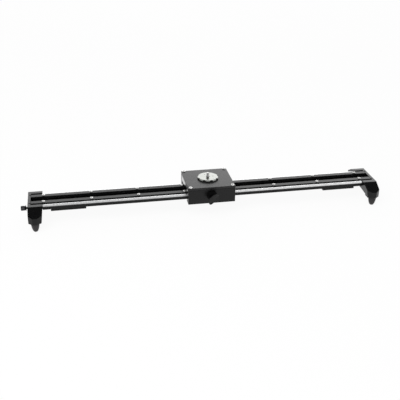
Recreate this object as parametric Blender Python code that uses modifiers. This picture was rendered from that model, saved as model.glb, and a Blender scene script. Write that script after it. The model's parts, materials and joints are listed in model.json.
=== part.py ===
"""Camera slider: a twin-rod rail on four screw feet with a sliding camera carriage.

Units are metres and +Z is up. X runs along the rail, -Y is the side with the brake knob.
The pieces are laid out from the middle of the rail at floor level, and one parent empty
then moves them so that the origin lies under the middle of the whole object.
"""
import math

import bmesh
import bpy
from mathutils import Matrix, Vector

# Fits that every piece shares
SEAT_GAP = 0.0003              # between two pieces that touch
WELD_REACH = 0.00001           # joins a surface's doubled points
CUT_OVERRUN = 0.002            # how far a cutter passes the face it opens
ROUND_SIDES = 20               # sides of a turned piece
SCREW_SIDES = 12               # sides of a screw and its hole
EDGE_BREAK = 0.0005            # small chamfer on machined edges

# Overall
OVERALL_LENGTH = 0.765         # end bracket to end bracket

# Rail extrusion, its clamp strips and guide rods
CHANNEL_WIDTH = 0.0200
CHANNEL_FLOOR = 0.0030
STRIP_WIDTH = 0.0113
STRIP_THICK = 0.0040
ROD_RADIUS = 0.0050
ROD_TOP_DROP = 0.0017          # rod's crown below the strip tops
CRADLE_FLOOR = 0.0028          # rail metal under the rod
CRADLE_STEPS = 18
LIP_THICK = 0.0014
LIP_RISE = 0.0020              # lip's top edge above the rod's axis
LIP_SKIRT = 0.0039             # lip's lower corner below the rod's axis
BASE_INSET = 0.0023            # flat underside ends this far inside the rod's axis
TONGUE_STEP = 0.0006           # rail tongue narrower than the strips on each side

# Strip screws
SCREWS_PER_STRIP = 8
SCREW_END_MARGIN = 0.0262
STRIP_SCREW_RADIUS = 0.0020
STRIP_HEAD_RADIUS = 0.0035
STRIP_HEAD_HEIGHT = 0.0022
STRIP_SCREW_LENGTH = 0.0095
SOCKET_SHARE = 0.50            # hex socket across corners, as a share of the head
SOCKET_DEPTH_SHARE = 0.60

# End brackets
BRACKET_LENGTH = 0.030
END_WALL = 0.006
GROOVE_WIDTH = 0.0062
GROOVE_DEPTH = 0.0030
ARM_WIDTH = 0.0100
NOSE_REACH = 0.0270            # how far the nose stands out past the arm
NOSE_DROP = 0.0150
NOSE_FLAT = 0.0100             # width of the nose's front facet
NOSE_FACET_DEPTH = 0.0075
NOSE_OFFSET = 0.0015           # front facet and foot stand this far past the bracket's middle
BRACKET_FLOOR = 0.0059         # metal under the rail at the middle of the arch
ARCH_RISE = 0.0040
BOSS_STEP = 0.0033             # foot boss below the arch
BOSS_LENGTH = 0.0195
INNER_DRAFT = 0.0032           # inner face leans back this far at the foot bosses
INNER_DRAFT_START = 0.0040     # below the strip tops

# Bolts and the thumb knob that hold the brackets to the rods
BOLT_RADIUS = 0.0025
BOLT_CLEARANCE = 0.0003
BOLT_HEAD_RADIUS = 0.00425
BOLT_HEAD_HEIGHT = 0.0050
BOLT_GRIP = 0.0120             # length held in the rod
GRUB_RADIUS = 0.0015
GRUB_LENGTH = 0.0040
GRUB_SETBACK = 0.0040          # from the bracket's outer face
GRUB_SPACE = 0.0006            # between a grub screw and a bolt's head
END_KNOB_STANDOFF = 0.0028
END_KNOB_LENGTH = 0.0110
END_KNOB_RADIUS = 0.0050
END_KNOB_FLANGE = 0.0058
END_KNOB_FLANGE_THICK = 0.0015

# Screw feet
FOOT_HEIGHT = 0.0198
FOOT_RADIUS = 0.0087
FOOT_TIP_RADIUS = 0.0018
FOOT_STEPS = 6
FOOT_BEND_SHARE = 1.7          # exponent of the dome's curve
FOOT_SETBACK = 0.0105          # foot's axis behind the nose's front facet
STUD_RADIUS = 0.0030
STUD_LENGTH = 0.0120

# Tripod plates under the rail
PLATE_LENGTH = 0.0735
PLATE_THICK = 0.0045
PLATE_SETBACK = 0.0165         # from the end bracket
TRIPOD_HOLE_RADIUS = 0.0048
PLATE_SCREW_SPACING = 0.056
PLATE_SCREW_RADIUS = 0.0020
PLATE_HEAD_RADIUS = 0.0034
PLATE_HEAD_HEIGHT = 0.0022

# Carriage
CARRIAGE_REST = 0.00375        # carriage's middle from the rail's middle
CARRIAGE_LENGTH = 0.1025
CARRIAGE_TOP = 0.0199          # deck above the strip tops
DECK_THICK = 0.0050
SIDE_SPACE = 0.0068            # from the rail's lip to the carriage wall
WALL_THICK = 0.0080
WALL_DROP = 0.0175             # wall's lower edge below the strip tops
END_PLATE_THICK = 0.0050
KEEPER_CLEARANCE = 0.0006
KEEPER_SIDE_GAP = 0.0040
RAIL_CLEARANCE = 0.0013        # end plates around the rail and its screw heads
DECK_SCREW_INSET = 0.00575
DECK_SCREW_RADIUS = 0.0020
DECK_HEAD_RADIUS = 0.0038
DECK_HEAD_HEIGHT = 0.0022
DECK_SCREW_LENGTH = 0.0160

# Bearing blocks that ride on the rods
BLOCK_LENGTH = 0.0250
BLOCK_LIP_CLEARANCE = 0.0008

# Camera screw and its locking disc
CAMERA_SCREW_RADIUS = 0.003175
CAMERA_SCREW_STAND = 0.0090
CAMERA_HEAD_RADIUS = 0.0060
CAMERA_HEAD_HEIGHT = 0.0040
DISC_RADIUS = 0.0231
DISC_THICK = 0.0042
DISC_SIDES = 54
SCALLOPS = 9
SCALLOP_RADIUS = 0.0036
SCALLOP_OFFSET = 0.0012        # scallop's centre outside the disc's rim
SCALLOP_TURN = math.radians(19.0)
PIN_HOLES = 3
PIN_HOLE_RADIUS = 0.0011
PIN_CIRCLE_RADIUS = 0.0110
PIN_TURN = math.radians(-1.0)

# Brake
BRAKE_HEIGHT = 0.0010          # knob's axis above the strip tops
BRAKE_SCREW_RADIUS = 0.0030
BRAKE_FLANGE_RADIUS = 0.0110
BRAKE_FLANGE_THICK = 0.0030
BRAKE_NECK_RADIUS = 0.0062
BRAKE_NECK_LENGTH = 0.0120
BRAKE_WING_SPAN = 0.0270
BRAKE_WING_THICK = 0.0080
BRAKE_WING_DEPTH = 0.0105
BRAKE_WING_TURN = math.radians(38.0)
SHOE_LENGTH = 0.0200
SHOE_TOP = 0.0060              # shoe's top above the strip tops
SHOE_ROD_GAP = 0.0008          # shoe to rod with the brake off
SHOE_BACK_SPACE = 0.0008       # shoe to the carriage wall
SHOE_REACH = 0.0007            # shoe's tip past the rod's axis, outward

# Places worked out from the sizes above, measured from the strip tops downward or outward
half_length = OVERALL_LENGTH / 2
bracket_inner = half_length - BRACKET_LENGTH
rail_half = half_length - END_WALL - SEAT_GAP
rod_half = bracket_inner - SEAT_GAP
channel_half = CHANNEL_WIDTH / 2
strip_outer = channel_half + STRIP_WIDTH
strip_middle = channel_half + STRIP_WIDTH / 2
rod_y = strip_outer + ROD_RADIUS
rod_z = -(ROD_TOP_DROP + ROD_RADIUS)
cradle_radius = ROD_RADIUS + SEAT_GAP
lip_inner_reach = math.sqrt(cradle_radius ** 2 - LIP_RISE ** 2)
lip_outer = rod_y + cradle_radius + LIP_THICK
lip_top = rod_z + LIP_RISE
lip_bottom = rod_z - LIP_SKIRT
rail_depth = ROD_TOP_DROP + 2 * ROD_RADIUS + SEAT_GAP + CRADLE_FLOOR
base_half = rod_y - BASE_INSET
strip_seat = -(STRIP_THICK + SEAT_GAP)
seat_reach = math.sqrt(cradle_radius ** 2 - (strip_seat - rod_z) ** 2)
tongue_half = strip_outer - TONGUE_STEP
arm_inner = strip_outer + GROOVE_WIDTH
arm_outer = arm_inner + ARM_WIDTH
nose_y = arm_outer + NOSE_REACH
arch_crown = rail_depth + SEAT_GAP + BRACKET_FLOOR
arch_edge = arch_crown + ARCH_RISE
leg_depth = arch_edge + BOSS_STEP
rail_top = leg_depth + SEAT_GAP + FOOT_HEIGHT
bracket_x = half_length - BRACKET_LENGTH / 2
foot_x = bracket_x + NOSE_OFFSET
grub_y = rod_y - BOLT_HEAD_RADIUS - GRUB_RADIUS - GRUB_SPACE
foot_y = nose_y - FOOT_SETBACK
bolt_hole_radius = BOLT_RADIUS + BOLT_CLEARANCE
screw_pitch = 2 * (rail_half - SCREW_END_MARGIN) / (SCREWS_PER_STRIP - 1)
plate_x = bracket_inner - PLATE_SETBACK - PLATE_LENGTH / 2
wall_inner = lip_outer + SIDE_SPACE
wall_outer = wall_inner + WALL_THICK
deck_bottom = CARRIAGE_TOP - DECK_THICK
wall_top = deck_bottom - SEAT_GAP
carriage_half = CARRIAGE_LENGTH / 2
brake_knob_reach = SEAT_GAP + BRAKE_FLANGE_THICK + BRAKE_NECK_LENGTH + BRAKE_WING_DEPTH
end_knob_reach = END_KNOB_STANDOFF + END_KNOB_LENGTH
origin_shift_x = end_knob_reach / 2
origin_shift_y = (wall_outer + brake_knob_reach - nose_y) / 2


def make_collection(name):
    """Add a collection to the scene."""
    collection = bpy.data.collections.new(name)
    bpy.context.scene.collection.children.link(collection)
    return collection


def make_material(name, colour, roughness, metallic):
    """Principled material with a plain colour."""
    material = bpy.data.materials.new(name)
    material.use_nodes = True
    shader = material.node_tree.nodes["Principled BSDF"]
    shader.inputs["Base Color"].default_value = (*colour, 1.0)
    shader.inputs["Roughness"].default_value = roughness
    shader.inputs["Metallic"].default_value = metallic
    material.diffuse_color = (*colour, 1.0)
    return material


def add_object(name, mesh, parent, place=(0, 0, 0), material=None):
    """A named piece of the slider, parented to an empty."""
    piece = bpy.data.objects.new(name, mesh)
    parts.objects.link(piece)
    piece.parent = parent
    piece.location = place
    if material:
        mesh.materials.clear()
        mesh.materials.append(material)
    return piece


def add_cutter(name, mesh, parent, place=(0, 0, 0)):
    """A guide solid for a Boolean, kept out of renders."""
    cutter = bpy.data.objects.new(name, mesh)
    cutters.objects.link(cutter)
    cutter.parent = parent
    cutter.location = place
    cutter.hide_render = True
    cutter.display_type = 'WIRE'
    return cutter


def combine(target, other, operation='DIFFERENCE'):
    """Boolean modifier on target."""
    modifier = target.modifiers.new(other.name, 'BOOLEAN')
    modifier.operation = operation
    modifier.solver = 'EXACT'
    modifier.object = other
    return modifier


def break_edges(piece, width=EDGE_BREAK):
    """One-step bevel on the sharp edges."""
    modifier = piece.modifiers.new("edge_break", 'BEVEL')
    modifier.width = width
    modifier.segments = 1
    modifier.limit_method = 'ANGLE'
    modifier.angle_limit = math.radians(40)
    return modifier


def mesh_from(name, build):
    """New mesh filled by a function that works on a bmesh."""
    shape = bmesh.new()
    build(shape)
    mesh = bpy.data.meshes.new(name)
    shape.to_mesh(mesh)
    shape.free()
    return mesh


def block_mesh(name, low, high):
    """Box between two corners."""
    low, high = Vector(low), Vector(high)

    def build(shape):
        size = Matrix.Diagonal((*(high - low), 1.0))
        bmesh.ops.create_cube(shape, size=1.0, matrix=Matrix.Translation((low + high) / 2) @ size)

    return mesh_from(name, build)


def rods_mesh(name, ends, radius, sides=ROUND_SIDES):
    """Cylinders between pairs of points, all of one radius."""

    def build(shape):
        for start, end in ends:
            start, end = Vector(start), Vector(end)
            turn = (end - start).to_track_quat('Z', 'Y').to_matrix().to_4x4()
            bmesh.ops.create_cone(
                shape, cap_ends=True, segments=sides, radius1=radius, radius2=radius,
                depth=(end - start).length, matrix=Matrix.Translation((start + end) / 2) @ turn)

    return mesh_from(name, build)


def evaluated_mesh(source, name):
    """Mesh of an object with its modifiers, and the object removed."""
    bpy.context.view_layer.update()
    graph = bpy.context.evaluated_depsgraph_get()
    mesh = bpy.data.meshes.new_from_object(source.evaluated_get(graph))
    mesh.name = name
    bpy.data.objects.remove(source)
    return mesh


def prism_mesh(name, outline, start, end, axis='X'):
    """Flat outline carried from start to end along X, Y or Z.

    The outline's points are (Y, Z) for X, (X, Z) for Y and (X, Y) for Z.
    """
    curve = bpy.data.curves.new(name, 'CURVE')
    curve.dimensions = '2D'
    curve.fill_mode = 'BOTH'
    curve.extrude = (end - start) / 2
    spline = curve.splines.new('POLY')
    spline.points.add(len(outline) - 1)
    for point, (across, up) in zip(spline.points, outline):
        point.co = (across, up, 0, 1)
    spline.use_cyclic_u = True
    flat = bpy.data.objects.new(name, curve)
    cutters.objects.link(flat)
    mesh = evaluated_mesh(flat, name)
    bpy.data.curves.remove(curve)
    shape = bmesh.new()
    shape.from_mesh(mesh)
    bmesh.ops.remove_doubles(shape, verts=shape.verts, dist=WELD_REACH)
    bmesh.ops.recalc_face_normals(shape, faces=shape.faces)
    shape.to_mesh(mesh)
    shape.free()
    turns = {
        'X': Matrix(((0, 0, 1, 0), (1, 0, 0, 0), (0, 1, 0, 0), (0, 0, 0, 1))),
        'Y': Matrix(((1, 0, 0, 0), (0, 0, -1, 0), (0, 1, 0, 0), (0, 0, 0, 1))),
        'Z': Matrix.Identity(4),
    }
    middle = (start + end) / 2
    shifts = {'X': (middle, 0, 0), 'Y': (0, middle, 0), 'Z': (0, 0, middle)}
    mesh.transform(Matrix.Translation(shifts[axis]) @ turns[axis])
    return mesh


def turned_mesh(name, profile, turn=None, sides=ROUND_SIDES):
    """Profile of (radius, height) points, listed top to bottom, spun about Z and then turned."""
    line = bpy.data.meshes.new(name)
    edges = [(index, index + 1) for index in range(len(profile) - 1)]
    line.from_pydata([(radius, 0, height) for radius, height in profile], edges, [])
    spun = bpy.data.objects.new(name, line)
    cutters.objects.link(spun)
    screw = spun.modifiers.new("spin", 'SCREW')
    screw.steps = sides
    screw.render_steps = sides
    screw.use_merge_vertices = True
    screw.merge_threshold = WELD_REACH
    mesh = evaluated_mesh(spun, name)
    bpy.data.meshes.remove(line)
    if turn:
        mesh.transform(turn)
    return mesh


def soften(mesh, angle=35):
    """Smooth shading with sharp edges kept."""
    mesh.shade_smooth()
    mesh.set_sharp_from_angle(angle=math.radians(angle))
    return mesh


def socket_screw_mesh(name, head_radius, head_height, shank_radius, length, domed=True):
    """Socket screw standing on its head's seat at Z = 0, head up."""
    crown = [(0, head_height), (0.6 * head_radius, 0.9 * head_height), (head_radius, 0.3 * head_height)]
    flat = [(0, head_height), (0.9 * head_radius, head_height), (head_radius, 0.85 * head_height)]
    profile = (crown if domed else flat) + [(head_radius, 0), (shank_radius, 0),
                                            (shank_radius, -length), (0, -length)]
    body = bpy.data.objects.new(name, turned_mesh(name + "_blank", profile, sides=SCREW_SIDES))
    cutters.objects.link(body)
    depth = SOCKET_DEPTH_SHARE * head_height
    socket = add_cutter(name + "_socket", rods_mesh(
        name + "_socket", [((0, 0, head_height - depth), (0, 0, head_height + CUT_OVERRUN))],
        SOCKET_SHARE * head_radius, sides=6), None)
    combine(body, socket)
    mesh = evaluated_mesh(body, name)
    bpy.data.objects.remove(socket)
    return soften(mesh)


def mirror_y(points):
    """Whole outline from its +Y half, which runs from the middle line back to it."""
    return points + [(-across, up) for across, up in reversed(points)]


def rail_outline():
    """(Y, Z) section: channel, strip seat, open cradle round the rod, lip and underside."""
    half = [(channel_half, CHANNEL_FLOOR - rail_depth), (channel_half, strip_seat)]
    first = math.atan2(strip_seat - rod_z, -seat_reach)
    last = math.atan2(LIP_RISE, lip_inner_reach) + 2 * math.pi
    for step in range(CRADLE_STEPS + 1):
        angle = first + (last - first) * step / CRADLE_STEPS
        half.append((rod_y + cradle_radius * math.cos(angle), rod_z + cradle_radius * math.sin(angle)))
    half += [(lip_outer, lip_top), (lip_outer, lip_bottom), (base_half, -rail_depth)]
    return mirror_y(half)


def lip_underside(across):
    """Height of the lip's sloping underside at a distance from the rail's middle."""
    share = (across - base_half) / (lip_outer - base_half)
    return -rail_depth + share * (rail_depth + lip_bottom)


def strip_screw_places():
    """X places of the screws along one strip."""
    first = -screw_pitch * (SCREWS_PER_STRIP - 1) / 2
    return [first + screw_pitch * index for index in range(SCREWS_PER_STRIP)]


def make_rail(root):
    """Rail extrusion with its cradles cut back at the ends, drilled for the strip screws."""
    top = Vector((0, 0, rail_top))
    rail = add_object("rail_extrusion", prism_mesh("rail_extrusion", rail_outline(), -rail_half, rail_half),
                      root, top, black_metal)
    outside = lip_outer + CUT_OVERRUN
    for end in (-1, 1):
        for side in (-1, 1):
            xs = sorted((end * rod_half, end * (rail_half + CUT_OVERRUN)))
            ys = sorted((side * tongue_half, side * outside))
            cutter = add_cutter(f"tongue_cut_{end}_{side}", block_mesh(
                "tongue_cut", (xs[0], ys[0], -rail_depth - CUT_OVERRUN), (xs[1], ys[1], CUT_OVERRUN)),
                root, top)
            combine(rail, cutter)
    depth = STRIP_SCREW_LENGTH + SEAT_GAP
    hole_radius = STRIP_SCREW_RADIUS + SEAT_GAP
    for side, name in ((-1, "front"), (1, "rear")):
        holes = [((x, side * strip_middle, -depth), (x, side * strip_middle, CUT_OVERRUN))
                 for x in strip_screw_places()]
        cutter = add_cutter(f"{name}_strip_holes", rods_mesh("strip_holes", holes, hole_radius, SCREW_SIDES), root, top)
        combine(rail, cutter)
        make_strip(root, top, name, side, cutter)
    make_plate_holes(root, rail)


def make_strip(root, top, name, side, holes):
    """One clamp strip beside the channel with its row of screws."""
    ys = sorted((side * channel_half, side * strip_outer))
    strip = add_object(f"{name}_clamp_strip", block_mesh(
        "clamp_strip", (-rail_half, ys[0], -STRIP_THICK), (rail_half, ys[1], 0)), root, top, satin_metal)
    break_edges(strip)
    combine(strip, holes)
    for index, x in enumerate(strip_screw_places(), start=1):
        seat = top + Vector((x, side * strip_middle, SEAT_GAP))
        add_object(f"{name}_strip_screw_{index}", strip_screw, root, seat)


def make_rods(root):
    """Chrome guide rods with a tapped hole in each end."""
    hole_depth = BOLT_GRIP + SEAT_GAP
    for side, name in ((-1, "front"), (1, "rear")):
        place = Vector((0, side * rod_y, rail_top + rod_z))
        rod = add_object(f"{name}_guide_rod", soften(rods_mesh(
            "guide_rod", [((-rod_half, 0, 0), (rod_half, 0, 0))], ROD_RADIUS)), root, place, chrome)
        holes = [((end * (rod_half - hole_depth), 0, 0), (end * (rod_half + CUT_OVERRUN), 0, 0))
                 for end in (-1, 1)]
        combine(rod, add_cutter(f"{name}_rod_holes", rods_mesh("rod_holes", holes, bolt_hole_radius, SCREW_SIDES),
                                root, place))


def bracket_side_outline():
    """(Y, Z) side view of a bracket: flat top, sloping noses, foot bosses and a shallow arch."""
    boss_inner = nose_y - BOSS_LENGTH
    half = [(0, 0), (arm_outer, 0), (nose_y, -NOSE_DROP), (nose_y, -leg_depth),
            (boss_inner, -leg_depth), (boss_inner, -arch_edge)]
    for share in (0.75, 0.5, 0.25):
        half.append((boss_inner * share, -arch_crown - ARCH_RISE * share ** 2))
    half.append((0, -arch_crown))
    return half[1:-1] + [(0, -arch_crown)] + [(-across, up) for across, up in reversed(half[1:-1])]


def bracket_plan_outline(end):
    """(X, Y) plan of a bracket: a block whose noses narrow to a front facet."""
    reach = BRACKET_LENGTH / 2
    right = end * NOSE_OFFSET + NOSE_FLAT / 2
    left = end * NOSE_OFFSET - NOSE_FLAT / 2
    corner = nose_y - NOSE_FACET_DEPTH
    return [(right, nose_y), (left, nose_y), (-reach, corner), (-reach, -corner),
            (left, -nose_y), (right, -nose_y), (reach, -corner), (reach, corner)]


def make_bracket(root, name, end):
    """End bracket: a U that takes the rail's tongue, with a foot boss under each nose."""
    place = Vector((end * bracket_x, 0, rail_top))
    reach = BRACKET_LENGTH / 2
    stud_x = end * NOSE_OFFSET
    bracket = add_object(f"{name}_end_bracket", prism_mesh(
        "end_bracket", bracket_side_outline(), -reach, reach), root, place, black_metal)
    plan = add_cutter(f"{name}_bracket_plan", prism_mesh(
        "bracket_plan", bracket_plan_outline(end), -leg_depth - CUT_OVERRUN, CUT_OVERRUN, 'Z'), root, place)
    combine(bracket, plan, 'INTERSECT')
    inner = -end * reach
    wall = end * (reach - END_WALL)
    cut_xs = sorted((inner - end * CUT_OVERRUN, wall))
    draft_height = leg_depth - INNER_DRAFT_START
    draft_stretch = (draft_height + CUT_OVERRUN) / draft_height
    pocket_half = strip_outer + SEAT_GAP
    cuts = {
        "pocket": block_mesh("pocket", (cut_xs[0], -pocket_half, -rail_depth - SEAT_GAP),
                             (cut_xs[1], pocket_half, CUT_OVERRUN)),
        "groove": block_mesh("groove", (cut_xs[0], -arm_inner, -GROOVE_DEPTH),
                             (cut_xs[1], arm_inner, CUT_OVERRUN)),
        "draft": prism_mesh("draft", [
            (inner, -INNER_DRAFT_START), (inner - end * CUT_OVERRUN, -INNER_DRAFT_START),
            (inner - end * CUT_OVERRUN, -leg_depth - CUT_OVERRUN),
            (inner + end * INNER_DRAFT * draft_stretch, -leg_depth - CUT_OVERRUN)],
            -nose_y - CUT_OVERRUN, nose_y + CUT_OVERRUN, 'Y'),
        "bolts": rods_mesh("bolts", [
            ((-reach - CUT_OVERRUN, side * rod_y, rod_z), (reach + CUT_OVERRUN, side * rod_y, rod_z))
            for side in (-1, 1)], bolt_hole_radius, SCREW_SIDES),
        "studs": rods_mesh("studs", [
            ((stud_x, side * foot_y, -leg_depth - CUT_OVERRUN),
             (stud_x, side * foot_y, STUD_LENGTH + SEAT_GAP - leg_depth)) for side in (-1, 1)],
            STUD_RADIUS + SEAT_GAP, SCREW_SIDES),
        "grubs": rods_mesh("grubs", [
            ((end * (reach - GRUB_SETBACK), side * grub_y, -GRUB_LENGTH - 2 * SEAT_GAP),
             (end * (reach - GRUB_SETBACK), side * grub_y, CUT_OVERRUN)) for side in (-1, 1)],
            GRUB_RADIUS + SEAT_GAP, SCREW_SIDES),
        "heads": rods_mesh("heads", [
            ((end * (reach - BOLT_HEAD_HEIGHT), side * rod_y, rod_z),
             (end * (reach + CUT_OVERRUN), side * rod_y, rod_z))
            for side in (-1, 1) if (end, side) != (-1, -1)], BOLT_HEAD_RADIUS + SEAT_GAP, SCREW_SIDES),
    }
    for label, mesh in cuts.items():
        combine(bracket, add_cutter(f"{name}_bracket_{label}", mesh, root, place))
    make_bracket_screws(root, name, end)


def make_bracket_screws(root, name, end):
    """Socket bolts into the rods, and the grub screws that lock them from above."""
    outward = Matrix.Rotation(end * math.pi / 2, 4, 'Y')
    seat = half_length - BOLT_HEAD_HEIGHT - SEAT_GAP
    for side, where in ((-1, "front"), (1, "rear")):
        grub = soften(rods_mesh("grub_screw", [((0, 0, -GRUB_LENGTH), (0, 0, 0))], GRUB_RADIUS, SCREW_SIDES))
        add_object(f"{name}_{where}_grub_screw", grub, root,
                   (end * (half_length - GRUB_SETBACK), side * grub_y, rail_top - SEAT_GAP), dark_steel)
        if (end, side) != (-1, -1):
            bolt = bolt_screw.copy()
            bolt.transform(outward)
            add_object(f"{name}_{where}_rod_bolt", bolt, root,
                       (end * (seat + SEAT_GAP), side * rod_y, rail_top + rod_z), dark_steel)


def make_end_knob(root):
    """Thumb knob on the front rod's left end, one piece with its threaded shank."""
    pivot = bpy.data.objects.new("end_knob_axis", None)
    parts.objects.link(pivot)
    pivot.parent = root
    pivot.location = (-half_length, -rod_y, rail_top + rod_z)
    far = END_KNOB_STANDOFF + END_KNOB_LENGTH
    shank_end = BRACKET_LENGTH + BOLT_GRIP
    flange_end = END_KNOB_STANDOFF + END_KNOB_FLANGE_THICK
    profile = [(0, far), (END_KNOB_RADIUS - 2 * EDGE_BREAK, far), (END_KNOB_RADIUS, far - 2 * EDGE_BREAK),
               (END_KNOB_RADIUS, flange_end), (END_KNOB_FLANGE, flange_end),
               (END_KNOB_FLANGE, END_KNOB_STANDOFF), (BOLT_RADIUS, END_KNOB_STANDOFF),
               (BOLT_RADIUS, -shank_end), (0, -shank_end)]
    mesh = soften(turned_mesh("end_knob", profile, Matrix.Rotation(-math.pi / 2, 4, 'Y')))
    add_object("end_knob", mesh, pivot, material=dark_steel)


def foot_mesh():
    """Rubber dome with its threaded stud, spun about the foot's axis."""
    profile = [(0, STUD_LENGTH), (STUD_RADIUS, STUD_LENGTH), (STUD_RADIUS, 0)]
    for step in range(FOOT_STEPS + 1):
        share = step / FOOT_STEPS
        swell = (1 - share ** FOOT_BEND_SHARE) ** 0.5
        radius = FOOT_TIP_RADIUS + (FOOT_RADIUS - FOOT_TIP_RADIUS) * swell
        profile.append((radius, -FOOT_HEIGHT * share))
    profile.append((0, -FOOT_HEIGHT))
    return soften(turned_mesh("screw_foot", profile), 50)


def make_feet(root):
    """Four screw feet, each on its own axis under a nose."""
    shared = foot_mesh()
    shared.materials.append(rubber)
    for end, name in ((-1, "left"), (1, "right")):
        for side, where in ((-1, "front"), (1, "rear")):
            pivot = bpy.data.objects.new(f"{name}_{where}_foot_axis", None)
            parts.objects.link(pivot)
            pivot.parent = root
            pivot.location = (end * foot_x, side * foot_y, FOOT_HEIGHT)
            add_object(f"{name}_{where}_foot", shared, pivot)


def plate_screw_ends(end):
    """X places of the two screws in one tripod plate."""
    return [end * plate_x + shift * PLATE_SCREW_SPACING / 2 for shift in (-1, 1)]


def make_plate_holes(root, rail):
    """Holes in the rail's floor for the tripod plates' screws."""
    holes = [((x, 0, rail_top - rail_depth - CUT_OVERRUN),
              (x, 0, rail_top - rail_depth + CHANNEL_FLOOR + CUT_OVERRUN))
             for end in (-1, 1) for x in plate_screw_ends(end)]
    combine(rail, add_cutter("rail_floor_holes", rods_mesh(
        "rail_floor_holes", holes, PLATE_SCREW_RADIUS + SEAT_GAP, SCREW_SIDES), root))


def make_tripod_plates(root):
    """Plates screwed under the rail near its ends, each with a tripod socket."""
    top = rail_top - rail_depth - SEAT_GAP
    bottom = top - PLATE_THICK
    for end, name in ((-1, "left"), (1, "right")):
        middle = end * plate_x
        plate = add_object(f"{name}_tripod_plate", block_mesh(
            "tripod_plate", (middle - PLATE_LENGTH / 2, -base_half, bottom),
            (middle + PLATE_LENGTH / 2, base_half, top)), root, material=black_metal)
        break_edges(plate)
        socket = rods_mesh("tripod_socket", [((middle, 0, bottom - CUT_OVERRUN), (middle, 0, top + CUT_OVERRUN))],
                           TRIPOD_HOLE_RADIUS)
        shanks = rods_mesh("plate_shanks", [
            ((x, 0, bottom - CUT_OVERRUN), (x, 0, top + CUT_OVERRUN)) for x in plate_screw_ends(end)],
            PLATE_SCREW_RADIUS + SEAT_GAP, SCREW_SIDES)
        heads = rods_mesh("plate_heads", [
            ((x, 0, bottom - CUT_OVERRUN), (x, 0, bottom + PLATE_HEAD_HEIGHT)) for x in plate_screw_ends(end)],
            PLATE_HEAD_RADIUS + SEAT_GAP, SCREW_SIDES)
        for label, mesh in (("socket", socket), ("shanks", shanks), ("heads", heads)):
            combine(plate, add_cutter(f"{name}_plate_{label}", mesh, root))
        for index, x in enumerate(plate_screw_ends(end), start=1):
            screw = plate_screw.copy()
            screw.transform(Matrix.Rotation(math.pi, 4, 'X'))
            add_object(f"{name}_plate_screw_{index}", screw, root,
                       (x, 0, bottom + PLATE_HEAD_HEIGHT - SEAT_GAP), dark_steel)


def carriage_wall_outline(side):
    """(Y, Z) section of a side wall with the keeper that hooks under the rail's lip."""
    keeper_inner = base_half + KEEPER_SIDE_GAP
    keeper_corner = lip_outer + KEEPER_CLEARANCE
    points = [(wall_outer, wall_top), (wall_outer, -WALL_DROP), (keeper_inner, -WALL_DROP),
              (keeper_inner, lip_underside(keeper_inner) - KEEPER_CLEARANCE),
              (keeper_corner, lip_bottom - KEEPER_CLEARANCE), (wall_inner, lip_bottom - KEEPER_CLEARANCE),
              (wall_inner, wall_top)]
    return [(side * across, up) for across, up in points]


def deck_screw_places():
    """(X, Y) places of the deck's corner screws."""
    x = carriage_half - DECK_SCREW_INSET
    y = wall_inner + WALL_THICK / 2
    return [(-x, -y, "left_front"), (x, -y, "right_front"), (-x, y, "left_rear"), (x, y, "right_rear")]


def make_carriage_box(carriage):
    """Side walls, end plates and deck plate, with the corner screws that hold them."""
    hole_bottom = CARRIAGE_TOP - DECK_SCREW_LENGTH - SEAT_GAP
    holes = add_cutter("deck_screw_holes", rods_mesh("deck_screw_holes", [
        ((x, y, hole_bottom), (x, y, CARRIAGE_TOP + CUT_OVERRUN)) for x, y, name in deck_screw_places()],
        DECK_SCREW_RADIUS + SEAT_GAP, SCREW_SIDES), carriage)
    for side, name in ((-1, "front"), (1, "rear")):
        wall = add_object(f"carriage_{name}_wall", prism_mesh(
            "carriage_wall", carriage_wall_outline(side), -carriage_half, carriage_half),
            carriage, material=black_metal)
        break_edges(wall)
        combine(wall, holes)
        if side < 0:
            drill = rods_mesh("brake_hole", [((0, -wall_outer - CUT_OVERRUN, BRAKE_HEIGHT),
                                              (0, -wall_inner + CUT_OVERRUN, BRAKE_HEIGHT))],
                              BRAKE_SCREW_RADIUS + SEAT_GAP)
            combine(wall, add_cutter("brake_hole", drill, carriage))
    make_end_plates(carriage)
    deck = add_object("carriage_deck", block_mesh(
        "carriage_deck", (-carriage_half, -wall_outer, deck_bottom),
        (carriage_half, wall_outer, CARRIAGE_TOP)), carriage, material=black_metal)
    break_edges(deck)
    combine(deck, holes)
    bore = rods_mesh("camera_bore", [((0, 0, deck_bottom - CUT_OVERRUN), (0, 0, CARRIAGE_TOP + CUT_OVERRUN))],
                     CAMERA_SCREW_RADIUS + SEAT_GAP)
    combine(deck, add_cutter("camera_bore", bore, carriage))
    for x, y, name in deck_screw_places():
        add_object(f"{name}_deck_screw", deck_screw, carriage, (x, y, CARRIAGE_TOP + SEAT_GAP))


def make_end_plates(carriage):
    """Plates that close the carriage's ends above and beside the rail."""
    outer = wall_inner - SEAT_GAP
    opening = lip_outer + RAIL_CLEARANCE
    foot = lip_bottom - KEEPER_CLEARANCE + SEAT_GAP
    ceiling = STRIP_HEAD_HEIGHT + RAIL_CLEARANCE
    outline = [(outer, wall_top), (-outer, wall_top), (-outer, foot), (-opening, foot),
               (-opening, ceiling), (opening, ceiling), (opening, foot), (outer, foot)]
    for end, name in ((-1, "left"), (1, "right")):
        xs = sorted((end * (carriage_half - END_PLATE_THICK), end * carriage_half))
        add_object(f"carriage_{name}_end_plate", prism_mesh("end_plate", outline, xs[0], xs[1]),
                   carriage, material=black_metal)


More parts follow.
